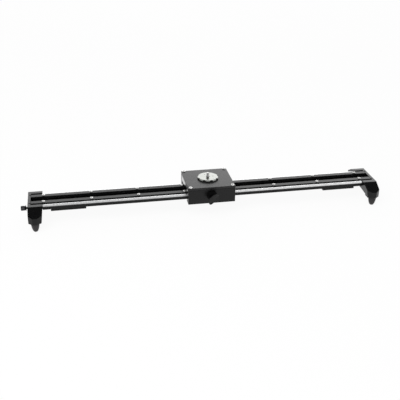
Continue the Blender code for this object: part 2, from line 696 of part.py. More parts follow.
def make_bearing_blocks(carriage):
    """Four plastic blocks between deck and rods, hollowed to ride on the rods' crowns."""
    outer_end = carriage_half - END_PLATE_THICK - SEAT_GAP
    inner_end = outer_end - BLOCK_LENGTH
    inner = strip_outer + BLOCK_LIP_CLEARANCE
    for side, where in ((-1, "front"), (1, "rear")):
        hollow = add_cutter(f"{where}_bearing_hollow", rods_mesh("bearing_hollow", [
            ((-carriage_half, side * rod_y, rod_z), (carriage_half, side * rod_y, rod_z))],
            cradle_radius, 32), carriage)
        for end, name in ((-1, "left"), (1, "right")):
            xs = sorted((end * inner_end, end * outer_end))
            ys = sorted((side * inner, side * (wall_inner - SEAT_GAP)))
            block = add_object(f"{name}_{where}_bearing_block", block_mesh(
                "bearing_block", (xs[0], ys[0], lip_top + BLOCK_LIP_CLEARANCE), (xs[1], ys[1], wall_top)),
                carriage, material=bearing_plastic)
            combine(block, hollow)


def make_camera_screw(carriage):
    """Fixed camera screw through the deck, with its hexagon head inside the carriage."""
    head_top = deck_bottom - SEAT_GAP
    stand = CARRIAGE_TOP + SEAT_GAP + DISC_THICK + CAMERA_SCREW_STAND
    tip = CAMERA_SCREW_RADIUS - 2 * EDGE_BREAK
    profile = [(0, stand), (tip, stand), (CAMERA_SCREW_RADIUS, stand - 2 * EDGE_BREAK),
               (CAMERA_SCREW_RADIUS, head_top - CAMERA_HEAD_HEIGHT / 2),
               (0, head_top - CAMERA_HEAD_HEIGHT / 2)]
    screw = add_object("camera_screw", soften(turned_mesh("camera_screw", profile)), carriage,
                       material=bright_steel)
    head = add_cutter("camera_screw_head", rods_mesh("camera_screw_head", [
        ((0, 0, head_top - CAMERA_HEAD_HEIGHT), (0, 0, head_top))], CAMERA_HEAD_RADIUS, 6), carriage)
    combine(screw, head, 'UNION')


def make_camera_disc(carriage):
    """Scalloped disc that turns on the camera screw and locks the camera from below."""
    pivot = bpy.data.objects.new("camera_disc_axis", None)
    parts.objects.link(pivot)
    pivot.parent = carriage
    pivot.location = (0, 0, CARRIAGE_TOP + SEAT_GAP)
    edge = 2 * EDGE_BREAK
    profile = [(0, DISC_THICK), (DISC_RADIUS - edge, DISC_THICK), (DISC_RADIUS, DISC_THICK - edge),
               (DISC_RADIUS, 0), (0, 0)]
    disc = add_object("camera_disc", turned_mesh("camera_disc", profile, sides=DISC_SIDES), pivot,
                      material=chrome)
    low, high = -CUT_OVERRUN, DISC_THICK + CUT_OVERRUN

    def ring(count, radius, turn):
        places = []
        for index in range(count):
            angle = turn + 2 * math.pi * index / count
            x, y = radius * math.cos(angle), radius * math.sin(angle)
            places.append(((x, y, low), (x, y, high)))
        return places

    scallops = rods_mesh("scallops", ring(SCALLOPS, DISC_RADIUS + SCALLOP_OFFSET, SCALLOP_TURN),
                         SCALLOP_RADIUS, 16)
    pins = rods_mesh("pins", ring(PIN_HOLES, PIN_CIRCLE_RADIUS, PIN_TURN), PIN_HOLE_RADIUS, SCREW_SIDES)
    bore = rods_mesh("bore", [((0, 0, low), (0, 0, high))], CAMERA_SCREW_RADIUS + SEAT_GAP)
    for label, mesh in (("scallops", scallops), ("pins", pins), ("bore", bore)):
        combine(disc, add_cutter(f"camera_disc_{label}", mesh, pivot))


def wing_outline():
    """(X, Z) outline of the brake knob's wing: a bar with round ends."""
    end_radius = BRAKE_WING_THICK / 2
    reach = BRAKE_WING_SPAN / 2 - end_radius
    points = []
    for side in (1, -1):
        for step in range(9):
            angle = side * math.pi / 2 - math.pi * step / 8
            points.append((side * reach + end_radius * math.cos(angle), end_radius * math.sin(angle)))
    return points


def make_brake(carriage):
    """Wing knob and screw through the front wall, and the shoe that it presses on the front rod."""
    pivot = bpy.data.objects.new("brake_axis", None)
    parts.objects.link(pivot)
    pivot.parent = carriage
    pivot.location = (0, -wall_outer, BRAKE_HEIGHT)
    flange_end = SEAT_GAP + BRAKE_FLANGE_THICK
    neck_end = flange_end + BRAKE_NECK_LENGTH
    wing_end = neck_end + BRAKE_WING_DEPTH
    root_radius = (BRAKE_FLANGE_RADIUS + BRAKE_NECK_RADIUS) / 2
    bore_radius = BRAKE_SCREW_RADIUS + SEAT_GAP
    outward = Matrix.Rotation(math.pi / 2, 4, 'X')
    profile = [(0, neck_end + BRAKE_WING_DEPTH / 2), (BRAKE_NECK_RADIUS, neck_end + BRAKE_WING_DEPTH / 2),
               (BRAKE_NECK_RADIUS, neck_end), (root_radius, flange_end + BRAKE_NECK_LENGTH / 3),
               (BRAKE_FLANGE_RADIUS, flange_end), (BRAKE_FLANGE_RADIUS, SEAT_GAP), (0, SEAT_GAP)]
    knob = add_object("brake_knob", turned_mesh("brake_knob", profile, outward), pivot,
                      material=knob_plastic)
    wing_mesh = prism_mesh("brake_wing", wing_outline(), -wing_end, -neck_end, 'Y')
    wing = add_cutter("brake_wing", wing_mesh, pivot)
    wing.rotation_euler = (0, -BRAKE_WING_TURN, 0)
    break_edges(wing, 2 * EDGE_BREAK)
    combine(knob, wing, 'UNION')
    bore = rods_mesh("brake_bore", [((0, CUT_OVERRUN, 0), (0, -neck_end - SEAT_GAP, 0))], bore_radius)
    combine(knob, add_cutter("brake_bore", bore, pivot))
    shoe_back = wall_inner - SHOE_BACK_SPACE
    tip = wall_outer - shoe_back - SEAT_GAP
    add_object("brake_screw", soften(rods_mesh("brake_screw", [
        ((0, -neck_end, 0), (0, tip, 0))], BRAKE_SCREW_RADIUS)), pivot, material=dark_steel)
    shoe = add_object("brake_shoe", block_mesh(
        "brake_shoe", (-SHOE_LENGTH / 2, -shoe_back, lip_top + BLOCK_LIP_CLEARANCE),
        (SHOE_LENGTH / 2, -rod_y - SHOE_REACH, SHOE_TOP)), carriage, material=bearing_plastic)
    hollow = rods_mesh("shoe_hollow", [((-SHOE_LENGTH, -rod_y, rod_z), (SHOE_LENGTH, -rod_y, rod_z))],
                       ROD_RADIUS + SHOE_ROD_GAP, 32)
    combine(shoe, add_cutter("shoe_hollow", hollow, carriage))


for old in list(bpy.data.objects):
    bpy.data.objects.remove(old)

parts = make_collection("camera_slider")
cutters = make_collection("cutters")

black_metal = make_material("black_anodised", (0.012, 0.012, 0.013), 0.35, 0.0)
satin_metal = make_material("satin_black_strip", (0.035, 0.035, 0.037), 0.38, 0.2)
chrome = make_material("chrome", (0.86, 0.87, 0.88), 0.08, 1.0)
bright_steel = make_material("bright_steel", (0.80, 0.80, 0.79), 0.22, 1.0)
dark_steel = make_material("dark_steel", (0.09, 0.09, 0.10), 0.35, 0.9)
rubber = make_material("rubber", (0.035, 0.033, 0.034), 0.75, 0.0)
bearing_plastic = make_material("bearing_plastic", (0.55, 0.54, 0.50), 0.5, 0.0)
knob_plastic = make_material("knob_plastic", (0.02, 0.02, 0.021), 0.45, 0.0)

strip_screw = socket_screw_mesh("strip_screw", STRIP_HEAD_RADIUS, STRIP_HEAD_HEIGHT,
                                STRIP_SCREW_RADIUS, STRIP_SCREW_LENGTH)
strip_screw.materials.append(bright_steel)
deck_screw = socket_screw_mesh("deck_screw", DECK_HEAD_RADIUS, DECK_HEAD_HEIGHT,
                               DECK_SCREW_RADIUS, DECK_SCREW_LENGTH)
deck_screw.materials.append(bright_steel)
bolt_screw = socket_screw_mesh("rod_bolt", BOLT_HEAD_RADIUS, BOLT_HEAD_HEIGHT, BOLT_RADIUS,
                               BRACKET_LENGTH - BOLT_HEAD_HEIGHT + BOLT_GRIP, domed=False)
plate_screw = socket_screw_mesh("plate_screw", PLATE_HEAD_RADIUS, PLATE_HEAD_HEIGHT - SEAT_GAP,
                                PLATE_SCREW_RADIUS, PLATE_THICK - PLATE_HEAD_HEIGHT + CHANNEL_FLOOR,
                                domed=False)

slider = bpy.data.objects.new("slider_frame", None)
parts.objects.link(slider)
slider.location = (origin_shift_x, origin_shift_y, 0)

make_rail(slider)
make_rods(slider)
make_bracket(slider, "left", -1)
make_bracket(slider, "right", 1)
make_end_knob(slider)
make_feet(slider)
make_tripod_plates(slider)

carriage_frame = bpy.data.objects.new("carriage_frame", None)
parts.objects.link(carriage_frame)
carriage_frame.parent = slider
carriage_frame.location = (CARRIAGE_REST, 0, rail_top)
make_carriage_box(carriage_frame)
make_bearing_blocks(carriage_frame)
make_camera_screw(carriage_frame)
make_camera_disc(carriage_frame)
make_brake(carriage_frame)
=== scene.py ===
"""Camera slider: its visible pieces, finishes, light and camera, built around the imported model.

Laid out as an add-on and run as a script. Lengths are metres and +Z is up. Every piece
sits at the origin with its place in its mesh, and rides on the body of the solid it stands for.
"""
import json
import math

import bmesh
import bpy
import numpy as np
from mathutils import Matrix, Vector

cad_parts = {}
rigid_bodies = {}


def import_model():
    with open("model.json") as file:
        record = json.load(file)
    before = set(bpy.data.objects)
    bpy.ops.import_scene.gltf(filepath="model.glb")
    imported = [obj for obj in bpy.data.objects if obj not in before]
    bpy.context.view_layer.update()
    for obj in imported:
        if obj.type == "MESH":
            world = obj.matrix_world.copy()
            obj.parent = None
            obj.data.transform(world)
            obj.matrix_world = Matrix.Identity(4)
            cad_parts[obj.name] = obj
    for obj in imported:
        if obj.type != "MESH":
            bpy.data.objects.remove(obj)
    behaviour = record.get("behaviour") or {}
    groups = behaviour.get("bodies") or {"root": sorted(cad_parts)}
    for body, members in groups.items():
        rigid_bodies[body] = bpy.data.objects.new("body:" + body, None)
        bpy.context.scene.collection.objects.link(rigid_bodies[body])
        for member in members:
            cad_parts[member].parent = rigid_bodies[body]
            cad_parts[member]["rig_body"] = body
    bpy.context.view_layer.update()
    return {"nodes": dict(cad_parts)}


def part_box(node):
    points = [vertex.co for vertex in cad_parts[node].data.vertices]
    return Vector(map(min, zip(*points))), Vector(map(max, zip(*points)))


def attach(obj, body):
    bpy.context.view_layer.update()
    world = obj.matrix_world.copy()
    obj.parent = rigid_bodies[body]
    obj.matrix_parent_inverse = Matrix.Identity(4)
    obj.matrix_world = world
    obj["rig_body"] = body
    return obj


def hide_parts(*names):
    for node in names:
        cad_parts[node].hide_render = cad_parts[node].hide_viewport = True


bl_info = {
    "name": "Camera slider",
    "version": (1, 0, 0),
    "blender": (4, 5, 0),
    "location": "3D View > Sidebar > Slider",
    "description": "Builds the shown pieces, finishes, light and camera of a camera slider",
    "category": "Object",
}

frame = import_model()

WELD_REACH = 1e-6              # joins a surface's doubled points
SMOOTH_ANGLE = 32              # degrees; flatter edges are shaded smooth
ENDS = ("left", "right")
SIDES = ("front", "rear")

# A screw head's share of the screw's whole length
STRIP_HEAD = 0.188
DECK_HEAD = 0.121
PLATE_HEAD = 0.26
BOLT_HEAD = 0.119
HEADLESS = 1.0

# A socket screw's other parts, as shares of its head's radius
SOCKET_CORNER = 0.5
SOCKET_RIM = 1.12              # of the socket's own corner radius
SHANK = 0.57
HEAD_CHAMFER = 0.06

BRACKET_BEVEL_ANGLE = 12       # degrees; the brackets' sharper edges are rounded
COLLAR_START = 0.0080          # from the end knob's outer face to its blackened collar
# The brake knob's wing in front of this depth is coloured lighter as painted light on its lit face
WING_START = 0.0150            # from the carriage wall to the brake knob's greyed wing


# Sizes and colours that a user would change

def length(title, text, default):
    """A length property in metres."""
    return bpy.props.FloatProperty(name=title, description=text, default=default, min=0.0,
                                   precision=5, unit='LENGTH', subtype='DISTANCE')


def colour(title, text, default):
    """A colour property."""
    return bpy.props.FloatVectorProperty(name=title, description=text, default=default,
                                         min=0.0, max=1.0, size=3, subtype='COLOR')


def share(title, text, default):
    """A property between nought and one."""
    return bpy.props.FloatProperty(name=title, description=text, default=default,
                                   min=0.0, max=1.0, subtype='FACTOR')


class SliderSizes(bpy.types.PropertyGroup):
    """Rounds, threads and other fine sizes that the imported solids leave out."""
    machined_round: length("Machined round", "Round on the edges of milled pieces", 0.0004)
    rail_round: length("Rail round", "Round on the extruded rail's edges", 0.0002)
    deck_corner: length("Deck corner", "Round of the deck's upright corners", 0.0016)
    deck_round: length("Deck round", "Round around the deck's top edge", 0.0009)
    strip_round: length("Strip round", "Round on the clamp strips' edges", 0.00045)
    rod_chamfer: length("Rod chamfer", "Chamfer at the guide rods' ends", 0.0005)
    camera_thread: length("Camera thread", "Pitch of the camera screw's thread", 0.00127)
    metric_thread: length("Metric thread", "Pitch of the other threads", 0.001)
    thread_depth: length("Thread depth", "Height of a thread's ridge", 0.0005)
    knurl_depth: length("Knurl depth", "Depth of the end knob's flutes", 0.0005)


class SliderFinishes(bpy.types.PropertyGroup):
    """Colours and gloss of the finishes."""
    # The carriage's top, sides and ends share one anodising: the top's lighter black is painted light, and
    # the sides' darker black is painted shade
    deck_black_lit: colour("Deck black", "Anodising on the carriage's top", (0.012, 0.012, 0.0122))
    wall_black_shaded: colour("Wall black", "Anodising on the carriage's sides", (0.0035, 0.0035, 0.0037))
    rail_black: colour("Rail black", "Anodising on the rail", (0.003, 0.003, 0.0032))
    bracket_black: colour("Bracket black", "Anodising on the end brackets", (0.0022, 0.0022, 0.0024))
    strip_black: colour("Strip black", "Brushed anodising on the clamp strips", (0.006, 0.0062, 0.0065))
    worn_edge: colour("Worn edge", "Edges where the anodising is thin", (0.085, 0.085, 0.088))
    rod_chrome: colour("Rod chrome", "Hard chrome of the guide rods", (0.93, 0.935, 0.94))
    disc_chrome: colour("Disc chrome", "Plating of the camera disc", (0.37, 0.38, 0.36))
    screw_steel: colour("Screw steel", "Bright steel of the screws", (0.86, 0.86, 0.85))
    dark_steel: colour("Dark steel", "Black oxide on the bolts and the brake screw", (0.075, 0.075, 0.078))
    foot_rubber: colour("Foot rubber", "Moulded rubber of the feet", (0.022, 0.020, 0.021))
    stud_steel: colour("Stud steel", "Dull steel of the camera screw", (0.58, 0.58, 0.57))
    knob_steel: colour("Knob steel", "Dull nickel on the end knob", (0.085, 0.085, 0.092))
    # Painted light and shade on the brake knob: on its hub this near-black also stands for painted shade, and
    # the wing's lighter grey on the next line is painted light on its lit face
    knob_plastic: colour("Knob plastic", "Brake knob's hub, and the grub screws", (0.0015, 0.0015, 0.0016))
    wing_lit_plastic: colour("Wing plastic", "The brake knob's wing, greyed by fingers", (0.028, 0.028, 0.028))
    bearing_plastic: colour("Bearing plastic", "Machined plastic on the rods", (0.55, 0.54, 0.50))
    floor_white: colour("Floor white", "The studio floor", (0.94, 0.94, 0.94))
    anodised_roughness: share("Anodised roughness", "Middle roughness of the anodising", 0.30)
    chrome_roughness: share("Chrome roughness", "Middle roughness of the chrome", 0.30)


# Surfaces worked out as whole arrays

def grid_faces(rows, columns):
    """Quads of a grid whose last column meets its first.

    Point (r, c) has index r * columns + c, and each quad joins rows r, r + 1 and columns c, c + 1.
    """
    row = np.arange(rows - 1)[:, None] * columns
    here = np.arange(columns)[None, :]
    there = (here + 1) % columns
    quads = np.stack([row + here, row + there, row + columns + there, row + columns + here], axis=-1)
    return quads.reshape(-1, 4).tolist()


def join_mesh(name, points, faces):
    """Mesh with its doubled points merged, faces outwards, and smooth but for its sharp edges."""
    mesh = bpy.data.meshes.new(name)
    mesh.from_pydata(points.tolist(), [], faces)
    shape = bmesh.new()
    shape.from_mesh(mesh)
    bmesh.ops.remove_doubles(shape, verts=shape.verts, dist=WELD_REACH)
    bmesh.ops.recalc_face_normals(shape, faces=shape.faces)
    shape.to_mesh(mesh)
    shape.free()
    mesh.shade_smooth()
    mesh.set_sharp_from_angle(angle=math.radians(SMOOTH_ANGLE))
    return mesh


def ring_surface(name, rings, capped=True):
    """Surface through closed rings, an array of (ring, point, 3), with its end rings filled."""
    count, around = rings.shape[:2]
    faces = grid_faces(count, around)
    if capped:
        last = (count - 1) * around
        faces += [list(range(around))[::-1], list(range(last, last + around))]
    return join_mesh(name, rings.reshape(-1, 3), faces)


def place(rings, axis, origin):
    """Rings made about +Z, turned so that +Z points along axis, and moved to origin."""
    turn = np.array(Vector(axis).to_track_quat('Z', 'Y').to_matrix())
    return rings @ turn.T + np.array(origin)


def polar_rings(radii, heights):
    """Rings about +Z: point (r cos t, r sin t, h) for radii of (ring, point) and heights of (ring,)."""
    angle = np.linspace(0, 2 * math.pi, radii.shape[1], endpoint=False)[None, :]
    tall = np.broadcast_to(np.asarray(heights, float)[:, None], radii.shape)
    return np.stack([radii * np.cos(angle), radii * np.sin(angle), tall], axis=-1)


def turned(name, profile, axis, origin, sides):
    """Surface of revolution: each (radius, height) of the profile becomes a circle about the axis."""
    profile = np.array(profile, float)
    radii = np.repeat(profile[:, :1], sides, axis=1)
    return ring_surface(name, place(polar_rings(radii, profile[:, 1]), axis, origin), capped=False)


def hexagon(sides):
    """Radius of a hexagon whose corners are 1 away: cos 30 / cos(t mod 60 - 30)."""
    angle = np.linspace(0, 2 * math.pi, sides, endpoint=False)
    third = math.pi / 3
    return math.cos(third / 2) / np.cos(angle % third - third / 2)


def threaded(major, depth, pitch, start, end, sides, per_turn=8):
    """Radii and heights of a thread: a triangle wave of height / pitch less the angle in turns."""
    heights = np.arange(start, end, pitch / per_turn)
    turn = np.linspace(0, 1, sides, endpoint=False)[None, :]
    wave = np.abs(2 * ((heights[:, None] / pitch - turn) % 1.0) - 1)
    runout = np.clip(np.minimum(heights - start, end - heights) / pitch, 0, 1)[:, None]
    return major - depth * (wave * runout + 1 - runout), heights


def stack_rings(*bands):
    """One array of radii and one of heights from several bands, listed along the axis."""
    return np.concatenate([band[0] for band in bands]), np.concatenate([band[1] for band in bands])


def plain_band(profile, sides, shape=None):
    """Band of rings for a profile of (radius, height), round or with the given outline."""
    profile = np.array(profile, float)
    outline = np.ones(sides) if shape is None else shape
    return profile[:, :1] * outline[None, :], profile[:, 1]


def softened_outline(corners, reach, steps=5):
    """Closed outline whose corners become quadratic curves.

    Each corner V turns into (1-t)^2 A + 2t(1-t) V + t^2 B, where A and B lie on its two
    sides at the given reach from it.
    """
    corners = np.array(corners, float)
    before = np.roll(corners, 1, axis=0) - corners
    after = np.roll(corners, -1, axis=0) - corners
    a = corners + before / np.linalg.norm(before, axis=1, keepdims=True) * reach
    b = corners + after / np.linalg.norm(after, axis=1, keepdims=True) * reach
    t = np.linspace(0, 1, steps)[None, :, None]
    curve = (1 - t) ** 2 * a[:, None] + 2 * t * (1 - t) * corners[:, None] + t ** 2 * b[:, None]
    return curve.reshape(-1, 2)


def inset_outline(outline, distance):
    """Outline moved inwards along the mean of its two edge normals; it runs anticlockwise."""
    ahead = np.roll(outline, -1, axis=0) - outline
    behind = outline - np.roll(outline, 1, axis=0)
    edge = ahead / np.linalg.norm(ahead, axis=1, keepdims=True)
    edge += behind / np.linalg.norm(behind, axis=1, keepdims=True)
    inward = np.stack([-edge[:, 1], edge[:, 0]], axis=1)
    return outline + inward / np.linalg.norm(inward, axis=1, keepdims=True) * distance


def rounded_prism(name, low, high, axis, corner, start_round, end_round, steps=4):
    """Block whose section has soft corners and whose two ends are rounded over.

    Near an end the section is inset by e(1 - sin s) at depth e(1 - cos s), a quarter circle.
    """
    low, high = np.array(low, float), np.array(high, float)
    across = [(axis + 1) % 3, (axis + 2) % 3]
    (u0, v0), (u1, v1) = low[across], high[across]
    outline = softened_outline([(u0, v0), (u1, v0), (u1, v1), (u0, v1)], corner)
    swing = np.linspace(0, math.pi / 2, steps)
    rings = []
    for depth, inset in zip(start_round * (1 - np.cos(swing)), start_round * (1 - np.sin(swing))):
        rings.append((low[axis] + depth, inset))
    for depth, inset in zip(end_round * (1 - np.cos(swing[::-1])), end_round * (1 - np.sin(swing[::-1]))):
        rings.append((high[axis] - depth, inset))
    grid = np.zeros((len(rings), len(outline), 3))
    for index, (along, inset) in enumerate(rings):
        grid[index][:, across] = inset_outline(outline, inset)
        grid[index][:, axis] = along
    return ring_surface(name, grid)


# Pieces and the solids that they stand for

def spot(node):
    """Low corner, high corner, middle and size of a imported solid."""
    low, high = (np.array(corner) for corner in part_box(node))
    return low, high, (low + high) / 2, high - low


def show(mesh, node, material):
    """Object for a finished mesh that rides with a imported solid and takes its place."""
    piece = bpy.data.objects.new("shown_" + node, mesh)
    bpy.context.scene.collection.objects.link(piece)
    mesh.materials.clear()
    mesh.materials.append(material)
    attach(piece, frame["nodes"][node]["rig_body"])
    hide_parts(node)
    return piece


def kept_flat(piece):
    """Piece whose large flat faces keep their own shading beside its rounds."""
    modifier = piece.modifiers.new("flat_faces", 'WEIGHTED_NORMAL')
    modifier.weight = 90
    modifier.keep_sharp = True
    return piece


def rounded_copy(node, width, material, limit=SMOOTH_ANGLE):
    """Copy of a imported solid: triangles joined, flat faces made whole and sharp edges rounded."""
    source = frame["nodes"][node].data
    points = np.zeros(len(source.vertices) * 3, np.float32)
    source.vertices.foreach_get("co", points)
    mesh = bpy.data.meshes.new("shown_" + node)
    mesh.from_pydata(points.reshape(-1, 3).tolist(), [], [list(face.vertices) for face in source.polygons])
    shape = bmesh.new()
    shape.from_mesh(mesh)
    bmesh.ops.remove_doubles(shape, verts=shape.verts, dist=WELD_REACH)
    bmesh.ops.dissolve_limit(shape, angle_limit=math.radians(0.5), verts=shape.verts, edges=shape.edges)
    shape.to_mesh(mesh)
    shape.free()
    mesh.shade_smooth()
    piece = show(mesh, node, material)
    bevel = piece.modifiers.new("edge_round", 'BEVEL')
    bevel.width = width
    bevel.segments = 2
    bevel.limit_method = 'ANGLE'
    bevel.angle_limit = math.radians(limit)
    bevel.use_clamp_overlap = True
    return kept_flat(piece)


def cut_away(piece, cutters):
    """Piece with the cutter meshes taken out of it, applied at once."""
    for cutter in cutters:
        tool = bpy.data.objects.new("cutter", cutter)
        bpy.context.scene.collection.objects.link(tool)
        boolean = piece.modifiers.new("cut", 'BOOLEAN')
        boolean.solver = 'EXACT'
        boolean.object = tool
        bpy.context.view_layer.update()
        graph = bpy.context.evaluated_depsgraph_get()
        result = bpy.data.meshes.new_from_object(piece.evaluated_get(graph))
        piece.modifiers.clear()
        piece.data = result
        bpy.data.objects.remove(tool)
        bpy.data.meshes.remove(cutter)
    piece.data.shade_smooth()
    piece.data.set_sharp_from_angle(angle=math.radians(SMOOTH_ANGLE))


def socket_screw(name, node, axis, head_share, domed, sides=36):
    """Screw with a hexagon socket, head towards axis, filling the box of a packed screw.

    The head is a crown h(0.35 + 0.65 sqrt(1 - (r/R)^2)), scaled so that it peaks at the
    socket's edge, or flat with a chamfer. The socket's rings follow a hexagon.
    """
    middle, size = spot(node)[2:]
    axis = np.array(axis, float)
    along = int(np.argmax(np.abs(axis)))
    radius = np.delete(size, along).max() / 2
    long = size[along]
    head = long * head_share
    shank = radius * (SHANK if head_share < HEADLESS else 1)
    socket, depth = SOCKET_CORNER * radius, 0.6 * head
    rim, chamfer = socket * SOCKET_RIM, HEAD_CHAMFER * radius
    if domed:
        reach = np.linspace(rim, radius, 9)
        peak = math.sqrt(1 - (rim / radius) ** 2)
        rise = 0.35 + 0.65 * np.sqrt(1 - (reach / radius) ** 2) / peak
        crown = list(zip(reach, head * rise))
    else:
        crown = [(rim, head), (radius * 0.9, head), (radius, head - 0.1 * radius)]
    bands = [
        plain_band([(0, head - depth), (socket, head - depth), (socket, head * 0.96)], sides, hexagon(sides)),
        plain_band(crown, sides),
        plain_band([(radius, chamfer), (radius - chamfer, 0), (shank, 0), (shank, head - long + chamfer),
                    (shank - chamfer, head - long), (0, head - long)], sides),
    ] if head_share < HEADLESS else [
        plain_band([(0, head - depth), (socket, head - depth), (socket, head)], sides, hexagon(sides)),
        plain_band([(radius - chamfer, head), (radius, head - chamfer), (radius, chamfer),
                    (radius - chamfer, 0), (0, 0)], sides),
    ]
    seat = middle + axis * (long / 2 - head)
    radii, heights = stack_rings(*bands)
    return ring_surface(name, place(polar_rings(radii, heights), axis, seat), capped=False)


# Finishes

def add_node(tree, kind, inputs=None, **settings):
    """Shader node with its settings, and its inputs set or linked."""
    made = tree.nodes.new(kind)
    for key, value in settings.items():
        setattr(made, key, value)
    for key, value in (inputs or {}).items():
        if isinstance(value, bpy.types.NodeSocket):
            tree.links.new(value, made.inputs[key])
        else:
            made.inputs[key].default_value = value
    return made


def start_finish(name):
    """New material, its node tree and its Principled shader."""
    material = bpy.data.materials.new(name)
    material.use_nodes = True
    return material, material.node_tree, material.node_tree.nodes["Principled BSDF"]


def noise(tree, scale, stretch=(1, 1, 1), detail=3):
    """Noise on the piece's own coordinates, stretched by the given factors."""
    coordinates = add_node(tree, "ShaderNodeTexCoord").outputs["Object"]
    mapped = add_node(tree, "ShaderNodeMapping", {"Vector": coordinates, "Scale": stretch})
    return add_node(tree, "ShaderNodeTexNoise", {
        "Vector": mapped.outputs["Vector"], "Scale": scale, "Detail": detail}).outputs["Fac"]


def spread(tree, factor, low, high, start=0.3, end=0.7):
    """Factor between start and end carried over to low and high."""
    return add_node(tree, "ShaderNodeMapRange", {
        "Value": factor, "From Min": start, "From Max": end, "To Min": low, "To Max": high}).outputs["Result"]


def blend(tree, factor, first, second):
    """Colour between two colours or sockets."""
    def given(value):
        return value if isinstance(value, bpy.types.NodeSocket) else (*value, 1.0)
    return add_node(tree, "ShaderNodeMixRGB", {
        "Fac": factor, "Color1": given(first), "Color2": given(second)}).outputs["Color"]


def relief(tree, shader, height, distance, strength=1.0):
    """Bump from a height factor, linked to the shader."""
    bump = add_node(tree, "ShaderNodeBump", {"Height": height, "Distance": distance, "Strength": strength})
    tree.links.new(bump.outputs["Normal"], shader.inputs["Normal"])


def edge_share(tree, radius):
    """One at a sharp edge and nought on flat metal: how far a rounded normal leaves the true one."""
    rounded = add_node(tree, "ShaderNodeBevel", {"Radius": radius}, samples=4).outputs["Normal"]
    true = add_node(tree, "ShaderNodeNewGeometry").outputs["Normal"]
    same = add_node(tree, "ShaderNodeVectorMath", {0: rounded, 1: true}, operation='DOT_PRODUCT')
    return spread(tree, same.outputs["Value"], 1.0, 0.0, 0.80, 0.99)


def open_share(tree, reach):
    """One on open metal and near nought deep in a notch or thread: the mask for painted shade."""
    open_sky = add_node(tree, "ShaderNodeAmbientOcclusion", {"Distance": reach}, samples=8).outputs["AO"]
    return spread(tree, open_sky, 0.0, 1.0, 0.50, 0.85)


def tones(base, low=0.8, high=1.2):
    """A darker and a lighter shade of a colour."""
    return tuple(part * low for part in base), tuple(min(1.0, part * high) for part in base)


def anodised(name, base, roughness, worn_and_lit, ior=1.5, coat=0.0, brushed=False):
    """Anodised aluminium: fine blasted or brushed grain, faint cloudy tone, thin wear on the edges."""
    material, tree, shader = start_finish(name)
    stretch = (0.012, 1, 1) if brushed else (1, 1, 1)
    grain = noise(tree, 2600, stretch, 2)
    cloud = noise(tree, 45, (0.4, 1, 1))
    dark, light = tones(base, 0.92, 1.08)
    tone = blend(tree, spread(tree, cloud, 0, 1), dark, light)
    wear = add_node(tree, "ShaderNodeMath", {
        0: edge_share(tree, 0.0005), 1: spread(tree, noise(tree, 160), 0.1, 0.9)}, operation='MULTIPLY')
    tree.links.new(blend(tree, wear.outputs["Value"], tone, worn_and_lit), shader.inputs["Base Color"])
    tree.links.new(spread(tree, noise(tree, 300, stretch), roughness - 0.03, roughness + 0.03),
                   shader.inputs["Roughness"])
    shader.inputs["IOR"].default_value = ior
    shader.inputs["Coat Weight"].default_value = coat
    shader.inputs["Coat Roughness"].default_value = 0.12
    relief(tree, shader, grain, 0.00002 if brushed else 0.000012, 0.6)
    return material


def past(tree, axis, where, reach=0.0006):
    """Nought before a place on the object's X, Y or Z, and one beyond it."""
    coordinates = add_node(tree, "ShaderNodeTexCoord").outputs["Object"]
    along = add_node(tree, "ShaderNodeSeparateXYZ", {"Vector": coordinates}).outputs[axis]
    return spread(tree, along, 0.0, 1.0, where - reach, where + reach)


def plated(name, base, roughness, stretch=(1, 1, 1), scale=1500, rings=None, shade_reach=0.0, depth=0.000003,
           collar=None):
    """Bright metal with fine polishing marks.

    rings gives the centre that turned marks run round; notches, flutes and threads within the given occlusion
    reach are darkened as painted shade; and collar the X beyond which the piece is blackened.
    """
    material, tree, shader = start_finish(name)
    dark, light = tones(base, 0.94, 1.04)
    marks = noise(tree, scale, stretch)
    if rings is not None:
        coordinates = add_node(tree, "ShaderNodeTexCoord").outputs["Object"]
        centred = add_node(tree, "ShaderNodeMapping", {
            "Vector": coordinates, "Location": tuple(-float(part) for part in rings)}).outputs["Vector"]
        marks = add_node(tree, "ShaderNodeTexWave", {
            "Vector": centred, "Scale": 900.0, "Distortion": 1.5, "Detail": 2.0},
            wave_type='RINGS', rings_direction='Z').outputs["Fac"]
    tone = blend(tree, spread(tree, noise(tree, 70, stretch), 0, 1), dark, light)
    # Painted shade: notches, flutes and threads are darkened in the colour by ambient occlusion
    if shade_reach:
        tone = blend(tree, open_share(tree, shade_reach), tones(base, 0.08)[0], tone)
    if collar is not None:
        tone = blend(tree, past(tree, "X", collar), tone, tones(base, 0.1)[0])
    tree.links.new(tone, shader.inputs["Base Color"])
    shader.inputs["Metallic"].default_value = 1.0
    tree.links.new(spread(tree, marks, roughness * 0.75, roughness * 1.4), shader.inputs["Roughness"])
    relief(tree, shader, marks, depth, 0.5)
    return material


def oxide_steel(name, base):
    """Black oxide over turned steel, lighter where it is handled."""
    material, tree, shader = start_finish(name)
    dark, light = tones(base, 0.7, 1.5)
    rubbed = blend(tree, edge_share(tree, 0.0004),
                   blend(tree, spread(tree, noise(tree, 220), 0, 1), dark, light), tones(base, 1, 3)[1])
    tree.links.new(rubbed, shader.inputs["Base Color"])
    shader.inputs["Metallic"].default_value = 0.85
    tree.links.new(spread(tree, noise(tree, 900), 0.26, 0.42), shader.inputs["Roughness"])
    relief(tree, shader, noise(tree, 3000), 0.000006, 0.5)
    return material


